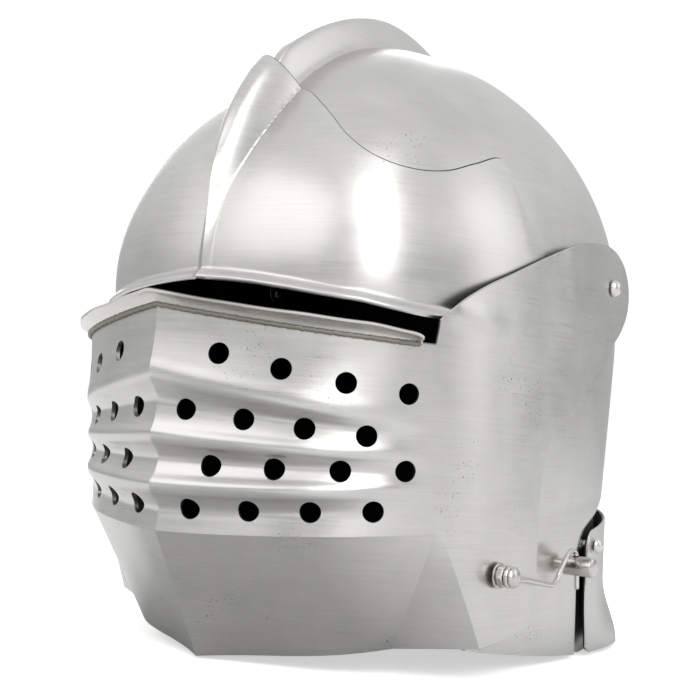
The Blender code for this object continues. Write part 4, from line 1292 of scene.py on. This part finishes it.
# ---------------------------------------------------------------- rivets and the latch
@dataclass
class Fixings:
    """Pivot rivets and nape rivets with their washers, and the latch on the wearer's left."""

    pivot_head: float = 3.9
    shank: float = 2.5
    bolt_at: tuple[float, float] = (-98.5, -112.2)
    stud_at: tuple[float, float] = (-35.0, -118.4)
    stud_radius: float = 4.2
    stud_end: float = 109.0
    hook_x: float = 100.7
    wire: float = 1.05

    def pivots(self, side: int, label: str) -> None:
        """One pivot: hammered dome outside, spacer between the plates, washer inside.

        Args:
            side: 1 for the left, -1 for the right.
            label: the side's name.
        """
        dome = [(0, 104.7), (1.3, 104.55), (2.4, 104.1), (3.2, 103.3), (3.75, 102.3),
                (self.pivot_head, 101.6), (self.shank, 101.6), (self.shank, 89.4), (3.6, 89.4),
                (3.2, 88.1), (0, 87.6)]
        dress(turned(label + "_pivot_peened", dome, 0, 0, side), Finish.RIVET, SKULL_BODY,
              label + "_pivot_rivet")
        dress(washer(label + "_pivot_spacer_ring", 3.0, 6.2, 96.3, 98.6, 0, 0, side),
              Finish.WASHER, SKULL_BODY, label + "_pivot_spacer")
        dress(washer(label + "_pivot_washer_ring", 3.0, 6.4, 89.7, 90.5, 0, 0, side),
              Finish.WASHER, SKULL_BODY, label + "_pivot_washer")

    def nape(self, side: int, label: str) -> None:
        """One nape rivet with its washer inside the skull.

        Args:
            side: 1 for the left, -1 for the right.
            label: the side's name.
        """
        y, z = BOWL.nape_pivot
        out, inner = BOWL.side_x(y, z, 2.2), BOWL.side_x(y, z, -5.0)
        dome = [(0, out + 3.8), (1.2, out + 3.7), (2.2, out + 3.3), (3.0, out + 2.6),
                (3.5, out + 1.7), (3.6, out + 1.3), (2.0, out + 1.3), (2.0, inner - 4.2),
                (3.2, inner - 4.2), (2.8, inner - 5.3), (0, inner - 5.6)]
        dress(turned(label + "_nape_peened", dome, y, z, side), Finish.RIVET, SKULL_BODY,
              label + "_nape_rivet")
        dress(washer(label + "_nape_washer_ring", 2.4, 5.2, inner - 3.9, inner - 2.8, y, z,
                     side), Finish.WASHER, SKULL_BODY, label + "_nape_washer")

    def stud(self) -> None:
        """The turned stud on the skull, cross-drilled for the hook's end."""
        y, z = self.stud_at
        skin = BOWL.side_x(y, z)
        end = self.stud_end
        line = [(0, end), (3.4, end), (self.stud_radius, end - 0.7),
                (self.stud_radius, skin + 2.8), (2.3, skin + 2.8), (2.3, skin - 3.2),
                (3.4, skin - 3.2), (3.0, skin - 4.3), (0, skin - 4.6)]
        item = turned("latch_stud_turned", line, y, z, 1)
        hole = drills("hook_hole", [(self.hook_x, y, z)], [(0, 0.001, 1)], WIRE_HOLE, 12)
        dress(drilled(item, [hole]), Finish.LATCH, SKULL_BODY, "latch_stud")

    def bolt(self) -> float:
        """The M5 bolt, washer and nut; returns X of the visor's face at the bolt."""
        y, z = self.bolt_at
        face = float(VISOR.on_plan(VISOR.arc_at(y))[0])
        line = [(0, face + 9.7), (1.3, face + 9.62), (2.4, face + 9.35), (3.4, face + 8.8),
                (4.1, face + 7.9), (4.1, face + 7.2), (1.95, face + 7.2), (1.95, face - 2.8),
                (3.9, face - 2.8), (3.9, face - 5.0), (3.0, face - 5.7), (0, face - 5.9)]
        dress(turned("latch_bolt_threaded", line, y, z, 1, corner=0.08), Finish.LATCH,
              VISOR_BODY, "latch_bolt")
        dress(washer("latch_washer_ring", 2.3, 5.1, face + 0.95, face + 1.5, y, z, 1),
              Finish.WASHER, VISOR_BODY, "latch_washer")
        dress(self.nut(face + 1.8, face + 4.6, y, z), Finish.LATCH, VISOR_BODY, "latch_nut")
        return face

    def nut(self, x0: float, x1: float, y: float, z: float) -> bpy.types.Object:
        """A hexagon nut: each ring is the smaller of the hexagon and a chamfer cone.

        Args:
            x0: X of its inner face.
            x1: X of its outer face.
            y: place to the back.
            z: height.

        Returns:
            The nut.
        """
        turn = np.linspace(0, 2 * math.pi, 96, endpoint=False)
        spoke = np.mod(turn, math.pi / 3) - math.pi / 6
        hexagon = 4.0 / np.cos(spoke)
        rings = [(2.2, x0), (3.9, x0), (4.25, x0 + 0.3), (5.0, x0 + 0.7), (5.0, x1 - 0.7),
                 (4.25, x1 - 0.3), (3.9, x1), (2.4, x1), (2.2, x1 - 0.2), (2.2, x0)]
        grid = np.array([np.stack([0 * turn + x, y + np.minimum(hexagon, r) * np.cos(turn),
                                   z + np.minimum(hexagon, r) * np.sin(turn)], -1)
                         for r, x in rings])
        return make_object("latch_nut_hex", grid.reshape(-1, 3),
                           quads(len(rings), 96, wrap=True), 30.0)

    def hook(self, face: float) -> None:
        """The bent spring wire: an eye on the bolt, a run back, and a pin down the stud.

        Args:
            face: X of the visor's face at the bolt.
        """
        (by, bz), (sy, sz), hx, x = self.bolt_at, self.stud_at, self.hook_x, face + 5.95
        turn = np.radians(np.linspace(60, 335, 11))
        eye = np.c_[0 * turn + x, by + 3.35 * np.cos(turn), bz + 3.35 * np.sin(turn)]
        run = [(x + 0.1, by + 6.5, bz - 2.2), (x - 0.1, by + 13, bz - 3.4),
               (x - 0.4, by + 25, bz - 6.6), (102.5, sy - 29, sz - 2.8),
               (102.3, sy - 25, sz - 3.4), (102.0, sy - 21.3, sz - 2.0),
               (101.9, sy - 17.5, sz + 1.6), (101.6, sy - 12.7, sz + 5.0),
               (101.2, sy - 8.5, sz + 6.8), (100.9, sy - 5, sz + 7.2), (hx, sy - 2, sz + 6.4),
               (hx, sy - 0.2, sz + 4.2), (hx, sy, sz), (hx, sy, sz - 9.4)]
        route = np.concatenate([curve_through(eye, np.linspace(0, 1, 40)),
                                curve_through([tuple(eye[-1]), *run], np.linspace(0.02, 1, 110))])
        dress(tube("latch_hook_wire", route, self.wire), Finish.WIRE, HOOK_BODY, "latch_hook")

    def build(self) -> None:
        """Make every rivet, washer and latch piece."""
        for side, label in SIDES:
            self.pivots(side, label)
            self.nape(side, label)
        self.stud()
        self.hook(self.bolt())


# ---------------------------------------------------------------- the liner
@dataclass
class Liner:
    """Quilted cap and stitched headband inside the bowl."""

    gap: float = 5.0
    wadding: float = 8.0
    channels: int = 20

    def build(self) -> None:
        """Make the cap and the band."""
        angle = np.linspace(0, 2 * math.pi, 240, endpoint=False)
        share = np.linspace(0.24, 0.93, 70)[:, None]
        outer = BOWL.high(angle + 0 * share, share + 0 * angle, -self.gap)
        rolled = np.sqrt(np.clip(1 - ((0.06 - (share - 0.24)) / 0.06).clip(0, 1) ** 2, 0, 1))
        seams = np.abs(np.sin(angle * self.channels / 2)) ** 0.5
        rings = np.abs(np.sin((share - 0.24) / 0.69 * 3 * math.pi)) ** 0.5
        puff = (0.45 + 0.55 * seams * (0.35 + 0.65 * rings)) * (0.25 + 0.75 * rolled)
        wall = normals_of(outer, wrap=True)
        wall *= np.sign(np.sum(wall * (outer - [0, BOWL.centre_y, -20])))
        inner = outer - wall * (self.wadding * puff)[..., None]
        top = BOWL.high(angle, np.full((1, len(angle)), 0.99995), -self.gap)
        outer = np.concatenate([outer, top])
        inner = np.concatenate([inner, top - [0, 0, self.wadding * 0.5]])
        cap = plate("liner_quilted_cap", outer, inner, wrap=True, crown=True)
        dress(cap, Finish.LINEN, SKULL_BODY, "liner_cap")
        share = np.linspace(0.1, 0.21, 14)[:, None]
        outer = BOWL.high(angle + 0 * share, share + 0 * angle, -7.0)
        wall = normals_of(outer, wrap=True)
        wall *= np.sign(np.sum(wall * (outer - [0, BOWL.centre_y, -20])))
        dress(plate("liner_headband", outer, outer - wall * 2.6, wrap=True, round_rim=0.4),
              Finish.LEATHER, SKULL_BODY, "liner_band")


# ---------------------------------------------------------------- the studio
@dataclass
class Studio:
    """Pale floor, soft lights and the camera."""

    eye: tuple[float, float, float] = (0.33763, -0.49037, 0.08859)
    right: tuple[float, float, float] = (0.8131, 0.5778, 0.0709)
    up: tuple[float, float, float] = (-0.0173, -0.0979, 0.9950)
    lens: float = 65.83

    def floor(self) -> None:
        """A wide pale disc under the helmet: evenly white to the camera, but grey to every other
        ray, with a painted glow away from a strip along Y under the helmet.
        """
        turn = np.linspace(0, 2 * math.pi, 96, endpoint=False)
        radius = np.linspace(0.001, 3.0, 24)[:, None]
        grid = np.stack([radius * np.cos(turn), radius * np.sin(turn),
                         np.full((24, 96), -0.0006)], -1)
        mesh = bpy.data.meshes.new("studio_floor")
        mesh.from_pydata(grid.reshape(-1, 3).tolist(), [], quads(24, 96, True).tolist())
        item = bpy.data.objects.new("studio_floor", mesh)
        bpy.context.scene.collection.objects.link(item)
        paper = bpy.data.materials.new("paper_backdrop_painted_glow")
        paper.use_nodes = True
        tree = paper.node_tree
        shader = tree.nodes["Principled BSDF"]
        shader.inputs["Roughness"].default_value = 0.9
        # Camera rays see the floor pale; every other ray sees it grey, a painted shade in the
        # helmet's reflections.
        seen = add_node(tree, "ShaderNodeLightPath").outputs["Is Camera Ray"]
        tone = add_node(tree, "ShaderNodeMix", {0: seen, 6: linear("BCBCBC"),
                                                7: linear("F4F4F2")}, data_type="RGBA")
        tree.links.new(tone.outputs[2], shader.inputs["Base Color"])
        # Painted light: for every ray but the camera's the floor glows, from nothing within 0.07 m
        # of the middle line to a strength of 0.45 past 0.13 m, to light the helmet's reflections.
        across = add_node(tree, "ShaderNodeSeparateXYZ", {0: add_node(
            tree, "ShaderNodeNewGeometry").outputs["Position"]}).outputs[0]
        rise = add_node(tree, "ShaderNodeMapRange", {"Value": add_node(
            tree, "ShaderNodeMath", {0: across}, operation="ABSOLUTE").outputs[0],
            "From Min": 0.07, "From Max": 0.13, "To Max": 0.45})
        # The camera sees an even glow of 0.55, which keeps the floor evenly white.
        glow = add_node(tree, "ShaderNodeMix", {0: seen, 2: rise.outputs[0], 3: 0.55})
        shader.inputs["Emission Color"].default_value = linear("FFFFFF")
        tree.links.new(glow.outputs[0], shader.inputs["Emission Strength"])
        mesh.materials.append(paper)

    def softbox(self, name: str, power: float, size: tuple[float, float],
                place: tuple[float, float, float],
                target: tuple[float, float, float] = (0, 0, 0.14)) -> None:
        """A rectangular area light aimed at a point.

        Args:
            name: the light's name.
            power: watts.
            size: width and height, metres.
            place: where it stands, metres.
            target: the point it faces.
        """
        lamp = bpy.data.lights.new(name, "AREA")
        lamp.shape = "RECTANGLE"
        lamp.size, lamp.size_y = size
        lamp.energy = power
        item = bpy.data.objects.new(name, lamp)
        bpy.context.scene.collection.objects.link(item)
        aim = (Vector(target) - Vector(place)).to_track_quat("-Z", "Y")
        item.matrix_world = Matrix.Translation(place) @ aim.to_matrix().to_4x4()

    def sky(self) -> None:
        """Surrounding light: white above, greyer low down and at the sides."""
        world = bpy.data.worlds.new("studio_walls")
        bpy.context.scene.world = world
        world.use_nodes = True
        tree = world.node_tree
        tree.nodes.clear()
        way = add_node(tree, "ShaderNodeTexCoord").outputs["Generated"]
        height = add_node(tree, "ShaderNodeSeparateXYZ", {0: way}).outputs[2]
        ramp = add_node(tree, "ShaderNodeValToRGB", {0: add_node(
            tree, "ShaderNodeMapRange", {0: height, 1: -1.0, 2: 1.0}).outputs[0]})
        stops = ((0.0, "C0C0C0"), (0.47, "BEBEBE"), (0.56, "C4C4C4"), (0.74, "EEEEEE"),
                 (1.0, "F6F6F6"))
        band = ramp.color_ramp
        while len(band.elements) < len(stops):
            band.elements.new(0.5)
        for element, (place, code) in zip(band.elements, stops):
            element.position = place
            element.color = linear(code)
        glow = add_node(tree, "ShaderNodeBackground", {"Color": ramp.outputs[0],
                                                       "Strength": 1.0})
        plain = add_node(tree, "ShaderNodeBackground", {"Color": (1, 1, 1, 1),
                                                        "Strength": 1.05})
        seen = add_node(tree, "ShaderNodeLightPath").outputs["Is Camera Ray"]
        mix = add_node(tree, "ShaderNodeMixShader",
                       {0: seen, 1: glow.outputs[0], 2: plain.outputs[0]})
        add_node(tree, "ShaderNodeOutputWorld", {0: mix.outputs[0]})

    def camera(self) -> None:
        """The camera, from its place and its right and up directions."""
        data = bpy.data.cameras.new("studio_camera")
        data.lens = self.lens
        data.sensor_width = 36.0
        data.clip_start = 0.01
        right, up = Vector(self.right).normalized(), Vector(self.up).normalized()
        back = right.cross(up).normalized()
        up = back.cross(right)
        item = bpy.data.objects.new("studio_camera", data)
        item.matrix_world = Matrix.Translation(self.eye) @ Matrix(
            (right, up, back)).transposed().to_4x4()
        bpy.context.scene.collection.objects.link(item)
        bpy.context.scene.camera = item

    def build(self) -> None:
        """Make the floor, the lights, the walls and the camera."""
        self.floor()
        self.softbox("key_softbox", 8.0, (0.5, 1.6), (1.02, -0.92, 0.95))
        self.softbox("front_softbox", 5.0, (1.6, 1.1), (-0.35, -1.35, 0.95))
        self.softbox("side_softbox", 2.5, (0.7, 1.4), (1.3, 0.75, 0.7))
        self.softbox("back_softbox", 6.0, (0.9, 0.9), (-0.9, 0.9, 0.8))
        self.sky()
        self.camera()
        bpy.context.scene.view_settings.view_transform = "Standard"


def main() -> None:
    """Build the helmet, sub-assembly by sub-assembly, then the studio."""
    logging.basicConfig(level=logging.INFO, format="%(name)s %(message)s")
    Skull().build()
    BrowPlate().build()
    VISOR.build()
    SightFlange().build()
    NapeLame().build()
    Fixings().build()
    Liner().build()
    Studio().build()


if __name__ == "__main__":
    main()
